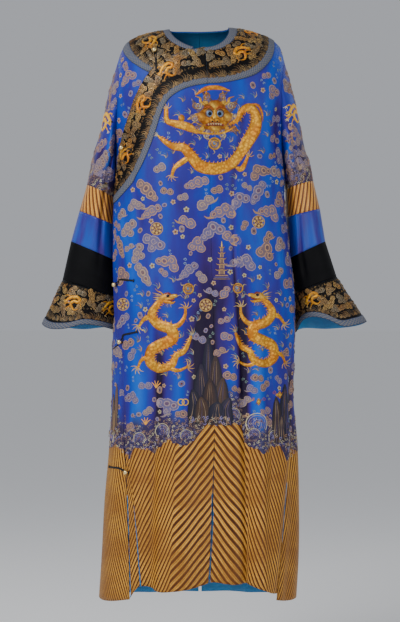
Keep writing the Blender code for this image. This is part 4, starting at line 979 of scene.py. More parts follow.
braid = make_braid()
near_neck, beyond_neck = slice(0, 4 * ACROSS_TIMES + 1), slice(4 * ACROSS_TIMES, None)
AROUND = ("front_left", "back_left", "back_right", "underlap")
STRIPS = table(
    "name parts braided flat area",
    ("neck_binding", [(name, 0, 1) for name in AROUND], True, (0.022, 0.56), 0.0105),
    ("collar_band_neck", [(name, 1, 4) for name in AROUND], False, (0.34, 0.33), 0.06),
    ("collar_trim_neck", [(name, 4, 5) for name in AROUND], True, (0.018, 1.05), 0.0175),
    ("overlap_binding", [("front_overlap", 0, 1, near_neck)], True, (0.012, 0.09), 0.001),
    ("collar_band_overlap", [("front_overlap", 1, 4, near_neck), ("front_overlap", 0, 4, beyond_neck)], False,
     (0.12, 0.42), 0.026),
    ("collar_trim_overlap", [("front_overlap", 4, 5)], True, (0.017, 0.45), 0.0073),
)
outer_collar = []
for strip in STRIPS:
    band = start_bmesh()
    for part in strip.parts:
        lay_strip(band, *part)
    lift_strip(band, BRAID_CROWN if strip.braided else 0.0)
    keep_faces(outer_collar, band)
    silk, slot = (braid, "grey_blue_braid") if strip.braided else (black_satin, "gold_embroidered_black_silk")
    made = finish_piece(f"{strip.name}_cloth", band, (silk,), BAND, (strip.name,))
collar_tree = faces_tree(outer_collar)

for side, word in ((1, "left"), (-1, "right")):
    trim = start_bmesh()
    points, cloth, form = sleeve_grid(side, np.linspace(CUFF_RING + 1 - TRIM_SHARE, CUFF_RING + 1, 5))
    across = np.linspace(0, 1, len(points))[:, None] + 0 * cloth[..., 0]
    cloth[..., 1], cloth[..., 2] = across * CUFF_TRIM, across
    form[..., 2] = 0.0
    lay_grid(trim, points, cloth, form, side < 0)
    lift_strip(trim, BRAID_CROWN)
    node_name = f"cuff_{word}_trim"
    made = finish_piece(f"{node_name}_cloth", trim, (braid,), BAND, (node_name,))

# ----------------------------------------
# The closures: loops of doubled black silk cord sewn to the overlap, each passed round a fluted brass
# ball button. The lower ones lie along the side; the middle one is tied to the layer behind as well.
CORD_RADIUS, CORD_SIDES = 0.00115, 8
BALL_RADIUS, BALL_FLUTES, BALL_FLUTE = 0.0058, 12, 0.035
LOOP_RADIUS = 0.6 * BALL_RADIUS
STITCH_HALF = 0.0036  # the few stitches across a strap's end
CLOSURES = table(
    "name start bend ball tail",
    ("closure_collarbone", (-0.1045, -0.112), (-0.105, -0.099), (-0.1075, -0.063), None),
    ("closure_underarm", (-0.164, -0.299), (-0.174, -0.296), (-0.185, -0.2925), None),
    ("closure_side_upper", (-0.159, -0.615), (-0.193, -0.612), (-0.203, -0.624), None),
    ("closure_side_middle", (-0.15, -0.738), (-0.184, -0.746), (-0.1895, -0.763),
            (-0.209, -0.779)),
    ("closure_side_lower", (-0.22, -1.067), (-0.196, -1.067), (-0.173, -1.076), None),
)
front_tree = faces_tree(outer_cloth + outer_collar)


def on_front(x, z, height):
    """The point at a height over the cloth seen at (x, z) from the front."""
    hit, normal, _, _ = front_tree.ray_cast(Vector((x, -1.0, z)), Vector((0, 1, 0)))
    if hit is None:
        hit, normal, _, _ = front_tree.find_nearest(Vector((x, -0.1, z)))
    return hit + normal * height


def ways(path):
    """The way ahead at each point of a flat path, and the way to its right."""
    ahead = unit(np.gradient(path, axis=0))
    return ahead, np.stack([ahead[:, 1], -ahead[:, 0]], 1)


def lay_cord(bm, path, radius):
    """A round cord along a path, closed at both ends."""
    path = np.array(path)
    ahead = unit(np.gradient(path, axis=0))
    across = unit(np.cross(ahead, (0.0, 1.0, 0.0)))
    upward = np.cross(across, ahead)
    turns = np.linspace(0, 2 * pi, CORD_SIDES + 1)[None, :, None]
    ring = across[:, None] * np.cos(turns) + upward[:, None] * np.sin(turns)
    points = path[:, None] + ring * radius
    cloth = np.stack(np.broadcast_arrays(turns[..., 0] * radius, distances(path)[:, None], 0.0), -1)
    lay_grid(bm, points, cloth, 0 * cloth, False)


def make_cord():
    """Black silk cord, plaited, with painted shade that leaves its grooves darker than its ridges."""
    made, tree, surface = start_material("black_cord", 0.55, gloss=0.3)
    vector, round_it, along, _ = attribute(tree, "cloth")
    turned = maths("DIVIDE", maths("ADD", along, round_it), 0.0022)
    plait = maths("PINGPONG", maths("FRACT", turned), 0.5)
    # painted shade: the colour follows the plait's relief, darkest in the grooves and lightest on the ridges
    colour = ramp(plait, (0.0, (0.002, 0.002, 0.003)), (0.5, (0.022, 0.021, 0.024)))
    weave(surface, colour, vector, 0.0005, maths("MULTIPLY", plait, 2.0))
    return made


def make_brass():
    """Cast and polished brass, a little worn."""
    made, tree, surface = start_material("ball_brass", 0.28, metallic=1.0)
    patchy_noise = noise(node(tree, "TexCoord").outputs["Object"], 260.0, 3.0)
    colour = blend_colour(patchy_noise, (0.72, 0.52, 0.2), (0.9, 0.74, 0.38))
    tree.links.new(colour, surface.inputs["Base Color"])
    return made


cord_silk, brass = make_cord(), make_brass()
for closure in CLOSURES:
    start, bend, ball = (np.array(point) for point in (closure.start, closure.bend, closure.ball))
    cord = start_bmesh()
    middle = finer_line(np.array([start, (start + bend) / 2, bend, (bend + ball) / 2, ball]), 5)
    ahead, aside = ways(middle)
    spread = CORD_RADIUS + (LOOP_RADIUS - CORD_RADIUS) * ease(np.linspace(-2.2, 1.0, len(middle)))[:, None]
    turn = np.linspace(-pi / 2, pi / 2, 9)[1:-1, None]
    bow = ball + ahead[-1] * LOOP_RADIUS * np.cos(turn) + aside[-1] * LOOP_RADIUS * np.sin(turn)
    loop = np.concatenate([middle - aside * spread, bow, (middle + aside * spread)[::-1]])
    lay_cord(cord, [on_front(x, z, CORD_RADIUS) for x, z in loop], CORD_RADIUS)
    stitched = [start - aside[0] * STITCH_HALF, start, start + aside[0] * STITCH_HALF]
    lay_cord(cord, [on_front(x, z, 1.6 * CORD_RADIUS) for x, z in stitched], 1.1 * CORD_RADIUS)
    if closure.tail is not None:
        for shift in (-CORD_RADIUS, CORD_RADIUS):
            line = np.linspace(ball, closure.tail, 8) + np.array([[shift, shift]])
            lay_cord(cord, [on_front(x, z, CORD_RADIUS) for x, z in line], CORD_RADIUS)
    bmesh.ops.remove_doubles(cord, verts=cord.verts, dist=1e-5)
    bmesh.ops.holes_fill(cord, edges=[edge for edge in cord.edges if edge.is_boundary])
    bmesh.ops.recalc_face_normals(cord, faces=cord.faces)
    finish_piece(f"{closure.name}_cord", cord, (cord_silk,), replaces=(closure.name,))

    button = bmesh.new()
    bmesh.ops.create_uvsphere(button, u_segments=36, v_segments=18, radius=BALL_RADIUS)
    centre = on_front(*closure.ball, 0.0011 + BALL_RADIUS)
    for vert in button.verts:
        flute = 1 + BALL_FLUTE * abs(cos(BALL_FLUTES / 2 * np.arctan2(vert.co.y, vert.co.x)))
        vert.co = centre + Vector((vert.co.x * flute, vert.co.z, vert.co.y * flute))
    bmesh.ops.recalc_face_normals(button, faces=button.faces)
    finish_piece(f"{closure.name}_ball", button, (brass,))

# ----------------------------------------
# The dragons: worked in gold-coloured silk floss laid flat and couched, raised over a little padding,
# with pale claws, flames and hair. One faces forward on the chest and one on the back, and two run
# below each. All are plain traditional dragons drawn for this robe.
BURIED = 0.0001  # the edges of the stitches go this far into the cloth
CAST = 0.25  # the cloth is looked for from this far out
Place = namedtuple("Place", "tree origin right up into size depth")


def place_at(tree, centre, out, up=(0, 0, 1), spin=0.0, size=1.0, depth=0.05):
    """A place to embroider, seen from outside along `out`; drawings are laid from there onto the cloth."""
    out = Vector(out).normalized()
    right = Vector(up).cross(out).normalized()
    upward = out.cross(right)
    right, upward = right * cos(spin) + upward * sin(spin), upward * cos(spin) - right * sin(spin)
    return Place(tree, Vector(centre) + out * CAST, right, upward, -out, size, depth)


def on_place(place, x, y, height):
    """The point on the cloth under (x, y) of a drawing; a seam's gap is bridged from either side of it."""
    start = place.origin + (place.right * x + place.up * y) * place.size
    casts = [place.tree.ray_cast(start + place.right * aside, place.into, CAST + place.depth)
             for aside in (0.0, -0.0009, 0.0009)]
    outer = min(casts, key=lambda cast: 1.0 if cast[0] is None else cast[3])
    hit, normal, _, _ = casts[0] if casts[0][0] and casts[0][3] < outer[3] + 0.002 else outer
    if hit is None:
        hit, normal, _, _ = place.tree.find_nearest(start + place.into * (CAST - 0.01))
    if normal.dot(place.into) > 0:
        normal = -normal
    return hit + normal * height


def start_threads(bm):
    bm.verts.layers.float_color.new("tint")
    bm.verts.layers.float_vector.new("stitch")
    return bm


drawing = start_threads(bmesh.new())  # what is being embroidered, until it is gathered into its piece


def stroke(place, path, width, colour, edge=None, height=0.0007, times=3, sides=2, low=-BURIED):
    """A line of stitches along a smooth path in metres; its width is one number or several along it."""
    path = finer_line(np.array(path, dtype=float), times)
    rows = len(path)
    aside = ways(path)[1]
    width = np.atleast_1d(width)
    widths = np.interp(np.linspace(0, 1, rows), np.linspace(0, 1, len(width)), width) / 2
    shares = np.linspace(-1, 1, sides + 1)
    flat = path[:, None] + aside[:, None] * widths[:, None, None] * shares[None, :, None]
    along = distances(path)
    edge = tuple(0.45 * part for part in colour) if edge is None else edge
    tint, stitch = drawing.verts.layers.float_color["tint"], drawing.verts.layers.float_vector["stitch"]
    made = bmesh.ops.create_grid(drawing, x_segments=sides, y_segments=rows - 1, size=1)["verts"]
    for number, vert in enumerate(made):
        row, column = divmod(number, sides + 1)
        share = shares[column]
        rise = low + (height - low) * (1 - share * share) ** 0.5
        vert.co = on_place(place, flat[row, column, 0], flat[row, column, 1], rise)
        vert[tint] = (*(edge if abs(share) > 0.99 else colour), 1)
        vert[stitch] = (along[row] * place.size, widths[row] * share * place.size, 0)


def toward(start, reach, angle):
    return start[0] + reach * cos(angle), start[1] + reach * sin(angle)


def blob(place, middle, radii, colour, edge=None, height=0.0008, segments=14, turn=0.0, low=-BURIED):
    """A padded patch of stitches round a middle; its radii are one number or several round it."""
    radii = np.append(radii, np.atleast_1d(radii)[0])
    edge = tuple(0.5 * part for part in colour) if edge is None else edge
    tint, stitch = drawing.verts.layers.float_color["tint"], drawing.verts.layers.float_vector["stitch"]
    made = bmesh.ops.create_circle(drawing, cap_ends=True, cap_tris=True, segments=segments, radius=1)
    for vert in made["verts"]:
        share = min(vert.co.xy.length, 1.0)
        angle = np.arctan2(vert.co.y, vert.co.x)
        reach = np.interp(angle % (2 * pi), np.linspace(0, 2 * pi, len(radii)), radii) * share
        vert.co = on_place(place, *toward(middle, reach, angle + turn), height + (low - height) * share)
        vert[tint] = (*(edge if share > 0.5 else colour), 1)
        vert[stitch] = (reach * cos(angle), reach * sin(angle), 0)


def round_path(middle, reach, angles):
    return np.stack([middle[0] + reach * np.cos(angles), middle[1] + reach * np.sin(angles)], 1)


def curl(place, middle, radius, width, colour, turns=1.3, start=0.0, hand=1, edge=None, steps=9, low=0.0):
    """A line that winds inwards."""
    t = np.linspace(0, 1, steps)
    path = round_path(middle, radius * (1 - 0.75 * t), start + hand * t * turns * 2 * pi)
    stroke(place, path, (width, width, 0.6 * width), colour, edge, low + 0.0007, times=2, low=low - BURIED)


def gather(total):
    """Adds what is drawn to a larger bmesh, and clears the drawing."""
    mesh = bpy.data.meshes.new("drawing")
    drawing.to_mesh(mesh)
    total.from_mesh(mesh)
    bpy.data.meshes.remove(mesh)
    drawing.clear()
    start_threads(drawing)


GOLD, DEEP_GOLD, PALE_GOLD = (1.0, 0.52, 0.03), (0.34, 0.11, 0.006), (1.0, 0.66, 0.1)
CREAM, LAVENDER, GREY_VIOLET = (0.74, 0.66, 0.42), (0.3, 0.26, 0.52), (0.16, 0.12, 0.28)
PEACH, WINE, NIGHT = (0.46, 0.26, 0.15), (0.11, 0.02, 0.022), (0.004, 0.006, 0.02)
SKY, ROSE, FLAME = (0.16, 0.36, 0.7), (0.5, 0.1, 0.08), (0.95, 0.38, 0.02)
FULL_TURN = np.linspace(0, 2 * pi, 17)


def millimetres(x=0.0, y=0.0, side=1):
    """A way to give points in millimetres from (x, y), mirrored if side is -1."""
    return lambda *points: [(x + side * px / 1000, y + py / 1000) for px, py in points]


def claws(place, foot, heading):
    """A paw with five pale claws spread about the way it points."""
    reach = 0.016
    blob(place, foot, 0.004, GOLD, DEEP_GOLD, height=0.0014)
    for spread in (-1.3, -0.65, 0.0, 0.65, 1.3):
        angle = heading + spread
        path = [foot, toward(foot, 0.55 * reach, angle), toward(foot, reach, angle + 0.25)]
        stroke(place, path, (0.003, 0.0024, 0.0007), CREAM, PALE_GOLD, 0.0012)


def leg(place, points, width, heading):
    shape = (0.4 * width, width, 0.95 * width, 0.75 * width, 0.6 * width, 0.5 * width)
    stroke(place, points, shape, GOLD, DEEP_GOLD, 0.0018, times=4, sides=4)
    elbow = points[len(points) // 2]
    for k in range(3):
        tip = toward(elbow, 0.012, heading + pi + 0.5 * (k - 1))
        middle = ((elbow[0] + tip[0]) / 2, (elbow[1] + tip[1]) / 2 + 0.001)
        stroke(place, [elbow, middle, tip], (0.0026, 0.0016, 0.0005), PALE_GOLD, DEEP_GOLD)
    claws(place, points[-1], heading)


def trunk(place, points, widths, fin=1):
    """A dragon's body: a padded ribbon with a darker line and a row of fins down its back."""
    stroke(place, points, widths, GOLD, DEEP_GOLD, 0.0024, times=6, sides=6)
    path = finer_line(np.array(points, dtype=float), 6)
    ahead, aside = ways(path)
    aside = aside * fin
    wide = np.interp(np.linspace(0, 1, len(path)), np.linspace(0, 1, len(widths)), widths) / 2
    for k in range(1, len(path) - 2, 2):
        root = path[k] + aside[k] * wide[k] * 0.7
        tip = path[k] + aside[k] * (wide[k] + 0.0042) - ahead[k] * 0.003
        shape = (0.0042, 0.003, 0.0006)
        stroke(place, [root, (root + tip) / 2, tip], shape, PALE_GOLD, ROSE, 0.0016, times=1)
        across = np.array([path[k] + aside[k] * wide[k] * 0.55, path[k] - ahead[k] * 0.0015,
                           path[k] - aside[k] * wide[k] * 0.75])
        stroke(place, across, (0.0005, 0.0009, 0.0004), (0.5, 0.2, 0.02), height=0.0026, times=2)


def tail_flames(place, end, heading):
    for spread, length in ((-0.9, 0.014), (-0.45, 0.019), (0.0, 0.023), (0.45, 0.018), (0.9, 0.013)):
        angle = heading + spread
        path = [end, toward(end, 0.5 * length, angle), toward(end, length, angle + 0.3)]
        stroke(place, path, (0.0034, 0.0024, 0.0005), SKY if abs(spread) > 0.5 else CREAM)


def front_head(place, x, y):
    """A dragon's head seen from the front, about seven centimetres wide with its mane."""
    at = millimetres(x, y)
    for side in (-1, 1):
        half = millimetres(x, y, side)
        for k in range(9):
            angle, bend = radians(-62 + 17 * k), 0.28 if k % 2 else -0.2
            near, far = 24 + (k % 2), 41 + 4 * (k % 3)
            path = half(
                toward((0, 0), near, angle), toward((0, 0), (near + far) / 2, angle + bend / 2),
                toward((0, 0), far, angle + bend),
            )
            hue, pale = ((LAVENDER, CREAM), (PALE_GOLD, LAVENDER), ((0.22, 0.18, 0.34), PEACH))[k % 3]
            stroke(place, path, (0.012, 0.0094, 0.0014), hue, None, 0.0009)
            curl(place, path[1], 0.0062, 0.0026, pale, start=angle, hand=side, low=0.0006)
        stroke(place, half((16, 20), (23, 25), (24, 31), (32, 34)), (0.006, 0.005, 0.0012),
               PALE_GOLD, DEEP_GOLD, 0.0018)
    face, brow, chin = at((0, 0), (0, 17), (0, -20))
    blob(place, face, (0.029, 0.029, 0.027, 0.03, 0.027, 0.029), GOLD, DEEP_GOLD, 0.003, segments=40)
    blob(place, brow, (0.015, 0.011, 0.012, 0.011), PALE_GOLD, DEEP_GOLD, 0.0034, 16, low=0.0008)
    for side in (-1, 1):
        half = millimetres(x, y, side)
        ear, eye, iris, pupil, nose, nostril = half((21, 0), (9, 6), (8.6, 5.4), (8, 5), (4.2, -6), (4, -7.4))
        blob(place, ear, 0.0085, PALE_GOLD, DEEP_GOLD, 0.003, 14, low=0.0006)
        curl(place, ear, 0.0055, 0.0018, ROSE, start=1.0, hand=side)
        blob(place, eye, (0.0066, 0.0076, 0.0066, 0.0076), CREAM, WINE, 0.0036, 18, low=0.0018)
        blob(place, iris, 0.005, (0.3, 0.34, 0.7), SKY, 0.004, low=0.003)
        blob(place, pupil, 0.003, NIGHT, NIGHT, 0.0046, low=0.0038)
        stroke(place, half((2, 12), (9, 17), (20, 13)), (0.004, 0.0056, 0.0012), (0.6, 0.16, 0.02), None,
               0.0044, low=0.001)
        blob(place, nose, 0.0048, GOLD, DEEP_GOLD, 0.005, low=0.0026)
        blob(place, nostril, 0.0014, NIGHT, NIGHT, 0.0052, low=0.0046)
        stroke(place, half((6, -9), (20, -14), (33, -9), (41, -15)), (0.0024, 0.0018, 0.0006), PALE_GOLD,
               DEEP_GOLD, 0.0016, times=5, low=0.0004)
    stroke(place, at((0, 11), (0, 3), (0, -3)), (0.0046, 0.0058, 0.0084), PALE_GOLD, DEEP_GOLD, 0.005,
           sides=4)
    stroke(place, at((-15, -14), (-5, -11.5), (5, -11.5), (15, -14)), (0.003, 0.008, 0.003), ROSE, WINE,
           0.004, low=0.0014)
    for k in range(6):
        across, gum = 4 * k - 10, -10.0 - 0.1 * abs(4 * k - 10)
        stroke(place, at((across, gum), (across, gum - 1.6), (across, gum - 3.2)), (0.003, 0.0026, 0.001),
               CREAM, CREAM, 0.0052, times=1, low=0.0042)
    blob(place, chin, (0.013, 0.007, 0.009, 0.007), PALE_GOLD, DEEP_GOLD, 0.0032, 16, low=0.0006)
    for k in range(7):
        lean = (k - 3) * 4.0
        stroke(place, at((lean, -22), (lean * 1.2, -27), (lean * 1.2 + 1.5, -31 - (k % 2) * 3)),
               (0.0036, 0.003, 0.0006), (CREAM, LAVENDER)[k % 2], None, 0.0016)


def side_head(place, x, y, facing):
    """A dragon's head from the side, looking along +x if facing is 1, with its mane streaming behind."""
    at = millimetres(x, y, facing)
    eye, pupil, nostril = at((2, 7), (3, 7), (20, 8))
    for k in range(7):
        rise = 14 - 5 * k
        hue = (CREAM, LAVENDER, PALE_GOLD)[k % 3]
        stroke(place, at((-8, 5 - k), (-19, rise * 0.7), (-32 + k, rise)), (0.0056, 0.0044, 0.0006), hue)
    stroke(place, at((-6, 7), (-14, 15), (-20, 17), (-25, 23)), (0.004, 0.003, 0.0008), PALE_GOLD, DEEP_GOLD)
    stroke(place, at((-12, 1), (-2, 5), (8, 4), (17, 7), (22, 5)), (0.012, 0.018, 0.014, 0.009, 0.005),
           PALE_GOLD, DEEP_GOLD, 0.003, times=4, sides=4)
    stroke(place, at((-6, -5), (4, -6), (12, -8), (18, -5)), (0.009, 0.008, 0.006, 0.002), GOLD, DEEP_GOLD,
           0.0024, sides=4)
    stroke(place, at((3, -1.5), (10, -2), (17, 0)), (0.002, 0.004, 0.002), ROSE, WINE, 0.003, low=0.0016)
    blob(place, eye, 0.0054, CREAM, ROSE, 0.0044, low=0.0024)
    blob(place, pupil, 0.003, NIGHT, NIGHT, 0.0052, low=0.0042)
    blob(place, nostril, 0.0034, GOLD, DEEP_GOLD, 0.0036)
    stroke(place, at((-4, 11), (3, 13), (9, 11)), (0.002, 0.004, 0.001), ROSE, None, 0.004)
    stroke(place, at((19, 4), (29, 9), (35, 3), (40, 7)), (0.002, 0.0016, 0.0005), CREAM)
    for k in range(4):
        stroke(place, at((-2 + 4 * k, -9), (-4 + 4 * k, -14), (-1 + 4 * k, -18)), (0.0028, 0.002, 0.0005),
               (LAVENDER, CREAM)[k % 2])


def pearl(place, middle, radius=0.015):
    """A flaming pearl: a ring round a coil, with small flames."""
    for k in range(6):
        angle = radians(60 * k + 20)
        tongue = ((1.05, 0), (1.4, 0.2), (1.75, 0))
        path = [toward(middle, reach * radius, angle + bend) for reach, bend in tongue]
        stroke(place, path, (0.0032, 0.0024, 0.0005), (CREAM, SKY)[k % 2])
    blob(place, middle, radius, SKY, DEEP_GOLD, 0.0012, segments=24)
    ring = round_path(middle, 0.88 * radius, FULL_TURN)
    stroke(place, ring, 0.3 * radius, PALE_GOLD, DEEP_GOLD, 0.002, times=2, low=0.0004)
    curl(place, middle, 0.6 * radius, 0.22 * radius, GOLD, turns=1.2, start=0.6, low=0.0009)


def flames(place, spots, length):
    """Loose tongues of flame and water beside a dragon."""
    for number, spot in enumerate(spots):
        lean = 0.5 * sin(5.1 * number)
        for k in range(3):
            angle = pi / 2 + lean + 0.55 * (k - 1)
            path = [spot, toward(spot, 0.5 * length, angle), toward(spot, length, angle + 0.5)]
            stroke(place, path, (0.003, 0.0028, 0.0006), (SKY, CREAM, LAVENDER)[(k + number) % 3])


def front_dragon(place):
    """A dragon facing forward whose body winds round a pearl; (0, 0) is the pearl."""
    at = millimetres()
    head, tail = (0.0, 0.044), (-0.135, 0.02)
    spine = at(
        (34, 46), (54, 58), (66, 80), (86, 88), (100, 66), (96, 36), (80, 8), (60, -24), (36, -50), (2, -60),
        (-34, -54), (-56, -30), (-74, -10), (-100, -6), (-122, 8), (-136, 20),
    )
    widths = (0.006, 0.013, 0.017, 0.021, 0.026, 0.032, 0.031, 0.026, 0.027, 0.03, 0.03, 0.027, 0.023, 0.017,
              0.012, 0.005)
    trunk(place, spine, widths)
    tail_flames(place, tail, 2.7)
    stroke(place, at((84, 96), (104, 94), (114, 76), (116, 56)), (0.004, 0.008, 0.007, 0.001), FLAME,
           DEEP_GOLD, 0.0014, times=4)
    stroke(place, at((-46, 116), (-22, 131), (8, 134), (36, 127)), (0.004, 0.012, 0.012, 0.004), FLAME,
           DEEP_GOLD, 0.0014, times=4, sides=4)
    leg(place, at((-40, 26), (-64, 40), (-94, 48), (-114, 56), (-116, 84)), 0.022, 1.6)
    blob(place, (-0.08, 0.06), (0.009, 0.011, 0.007, 0.009), GOLD, DEEP_GOLD, 0.0018)
    leg(place, at((50, -56), (64, -60), (74, -44), (80, -28)), 0.014, 1.2)
    leg(place, at((-56, -30), (-78, -44), (-96, -58), (-102, -76)), 0.015, -1.8)
    widths = (0.004, 0.01, 0.006, 0.005, 0.006, 0.005, 0.003)
    stroke(place, at((-62, 34), (-20, 24), (20, 26), (50, 42)), widths, GOLD, DEEP_GOLD, 0.0024, 8, 4)
    front_head(place._replace(size=1.45 * place.size), *head)
    pearl(place, (0.0, 0.0))
    spots = at(
        (-36, 8), (36, 4), (-82, 20), (128, 20), (-120, 50), (118, -20), (-20, -36), (24, -34), (-116, -34),
        (70, 108), (-60, 70), (-76, 100), (56, 80), (96, 112), (-48, -4), (48, -14), (-100, -24), (126, 70),
        (-56, -72), (50, -84), (-84, 66), (60, 24), (134, 46), (-46, 118),
    )
    flames(place, spots, 0.016)


def running_dragon(place, facing):
    """A dragon running upwards, seen from the side; (0, 0) is the middle of its body."""
    at = millimetres(side=facing)
    tail, spot = at((58, 8), (52, 108))
    spine = at(
        (-2, 86), (-15, 74), (-27, 52), (-12, 32), (14, 22), (18, 2), (-4, -10), (-26, -22), (-30, -48),
        (-10, -62), (16, -54), (26, -34), (42, -26), (52, -8), (58, 8),
    )
    widths = (0.011, 0.017, 0.022, 0.026, 0.026, 0.024, 0.021, 0.018, 0.014, 0.01, 0.006)
    trunk(place, spine, widths, fin=-facing)
    tail_flames(place, tail, pi / 2 - 0.2 * facing)
    leg(place, at((-22, 50), (-42, 44), (-54, 28)), 0.012, -pi / 2 - 0.7 * facing)
    leg(place, at((8, 28), (30, 30), (44, 48), (46, 66)), 0.012, pi / 2)
    leg(place, at((-28, -34), (-48, -44), (-56, -60)), 0.01, -pi / 2 - 0.6 * facing)
    leg(place, at((6, -58), (30, -66), (50, -58)), 0.01, 0.2 if facing > 0 else pi - 0.2)
    side_head(place, facing * 0.006, 0.086, facing)
    pearl(place, spot, 0.012)
    spots = at(
        (-50, 66), (-58, -6), (36, 4), (-4, -34), (62, -32), (-46, 92), (30, -84), (70, 40), (-40, 14),
        (8, 46), (-50, -26), (20, 122), (44, 86), (-14, 108), (6, -78), (56, -50),
    )
    flames(place, spots, 0.015)


def small_dragon(place, side):
    """A dragon five centimetres long, as worked on a sleeve, a collar or a cuff."""
    at = millimetres(side=side)
    head, eye = at((19, 0), (20, 1.5))
    spine = at((-21, -9), (-12, -14), (-3, -9), (2, -1), (-5, 7), (-15, 7), (-18, 14), (-8, 19), (4, 15),
               (12, 8), (16, 2))
    widths = (0.002, 0.005, 0.008, 0.009, 0.009, 0.009, 0.009, 0.01, 0.009, 0.008)
    stroke(place, spine, widths, GOLD, DEEP_GOLD, 0.002, sides=4)
    for shoulder, elbow, foot in (((-2, -6), (6, -10), (12, -17)), ((3, 1), (13, -2), (20, -9)),
                                  ((-15, 8), (-23, 4), (-25, -4)), ((6, 14), (15, 18), (23, 15))):
        stroke(place, at(shoulder, elbow, foot), (0.005, 0.004, 0.0022), GOLD, DEEP_GOLD, 0.0014)
        for k in (-1, 0, 1):
            tip = (foot[0] + 5 * sin(0.8 * k + 0.3), foot[1] - 5 * cos(0.8 * k + 0.3))
            stroke(place, at(foot, tip), (0.0018, 0.0008), CREAM, PALE_GOLD)
    for k in range(4):
        stroke(place, at((13, 4), (7 - 2 * k, 2 - 3 * k), (2 - k, -1 - 4 * k)), (0.0028, 0.0022, 0.0006),
               (LAVENDER, CREAM)[k % 2])
    blob(place, head, (0.0078, 0.006, 0.007, 0.006), PALE_GOLD, DEEP_GOLD, 0.0022)
    blob(place, eye, 0.0018, NIGHT, NIGHT, 0.0032, segments=7)
    stroke(place, at((23, -2), (30, 2), (33, 8)), (0.0018, 0.0014, 0.0005), CREAM)


def make_thread(name, roughness, metallic, scales=0.0):
    """Silk floss or gold thread in the colour of each stitch, with fine lines across each row."""
    made, tree, surface = start_material(name, roughness, metallic=metallic, gloss=0.3)
    colour = node(tree, "Attribute", attribute_name="tint").outputs["Color"]
    vector = node(tree, "Attribute", attribute_name="stitch").outputs["Vector"]
    lit = ramp(noise(vector, 320.0, 2.0), (0.3, 0.66), (0.7, 1))
    colour = blend_colour(0.8, colour, lit, "MULTIPLY")
    if scales:
        patch = noise(node(tree, "TexCoord").outputs["Object"], 26.0, 1.0)
        warm = ramp(patch, (0.36, (0.94, 0.68, 0.45)), (0.5, (1.0, 0.92, 0.85)), (0.62, 1))
        colour = blend_colour(0.9, colour, warm, "MULTIPLY")
        cells = node(tree, "TexVoronoi", {"Vector": vector, "Scale": 165.0}).outputs["Distance"]
        scale = ramp(cells, (0.3, 1), (0.62, (0.5, 0.37, 0.24)))
        colour = blend_colour(scales, colour, scale, "MULTIPLY")
    weave(surface, colour, vector, 0.0003, scale=(2200, 300, 1))
    return made


gold_floss, silk_floss = make_thread("gold_floss", 0.42, 0.3, 0.8), make_thread("silk_floss", 0.55, 0.0)
SOUTH, NORTH = (0, -1, 0), (0, 1, 0)  # the ways out of the front and the back
DRAGONS = table(
    "name draw x z out size facing",
    ("chest_dragon", front_dragon, 0.035, -0.288, SOUTH, 1.0, ()),
    ("lower_left_dragon", running_dragon, -0.086, -0.756, SOUTH, 1.12, (1,)),
    ("lower_right_dragon", running_dragon, 0.146, -0.748, SOUTH, 1.06, (-1,)),
    ("back_dragon", front_dragon, 0.0, -0.3, NORTH, 1.1, ()),
    ("back_lower_left_dragon", running_dragon, 0.105, -0.77, NORTH, 1.0, (1,)),
    ("back_lower_right_dragon", running_dragon, -0.105, -0.77, NORTH, 1.0, (-1,)),
)
worked_spots = []


def remember(share=5):
    """Keeps where a drawing lies, so that later ones leave it clear."""
    worked_spots.extend(vert.co.copy() for vert in list(drawing.verts)[::share])


for plan in DRAGONS:
    place = place_at(robe_tree, (plan.x, 0.0, plan.z), plan.out, size=plan.size, depth=0.06)
    plan.draw(place, *plan.facing)
    remember(1)
    dragon = start_threads(bmesh.new())
    gather(dragon)
    finish_piece(plan.name, dragon, (gold_floss,))

# ----------------------------------------
# Medallions, a small pavilion, waves, foam and rocks: silk floss in satin stitch. The waves and the
# foam run all round above the striped hem and above the sleeves' striped bands.
SEAM_REACH = 0.0014


def on_girth(x, z, back=False):
    """The place on the body's cloth at (x, z) seen from the front or the back."""
    return place_at(robe_tree, (x, 0.0, z), NORTH if back else SOUTH)


def u_at(distance, z):
    """The girth share at a distance round the body from the middle of the front."""
    return float(np.interp(distance, GIRTH[int(z / GIRTH_Z[1])], GIRTH_U))


def on_body(u, z, spin=0.0, size=1.0):
    """The place on the body's cloth at girth share u and level z, anywhere round it."""
    centre, turn = Vector(body(u, z)), u * pi / 2
    level = Vector((0.12 * sin(turn), -0.22 * cos(turn), 0)).normalized()
    normal = robe_tree.find_nearest(centre)[1]
    out = normal + level if normal.dot(level) > 0 else level
    return place_at(robe_tree, centre, out, spin=spin, size=size)


def point_tree(points):
    tree = KDTree(len(points))
    for number, point in enumerate(points):
        tree.insert(point, number)
    tree.balance()
    return tree


def find_open_edges():
    """The edges of panels that no other panel meets: vents, hem, armholes and the overlap's side."""
    every = point_tree([point for point, _ in border_points])
    return point_tree([
        point for point, name in border_points
        if all(border_points[found[1]][1] == name for found in every.find_range(point, SEAM_REACH))
    ])


open_edges = find_open_edges()


def medallion(place):
    """A round flower medallion of petals round a heart."""
    radius = 0.0155
    blob(place, (0, 0), radius, (0.14, 0.05, 0.03), WINE, 0.0006, segments=22)
    ring = round_path((0, 0), 0.94 * radius, FULL_TURN)
    stroke(place, ring, 0.0028, (0.62, 0.36, 0.11), None, 0.0014, times=1)
    petals = (7, 0.62, 0.23, (0.76, 0.47, 0.15)), (4, 0.28, 0.18, PEACH), (1, 0.0, 0.12, GOLD)
    for count, reach, size, hue in petals:
        for k in range(count):
            middle = toward((0, 0), reach * radius, 2 * pi * (k + 0.3) / count)
            blob(place, middle, size * radius, hue, None, 0.0016, segments=8, low=0.0007)


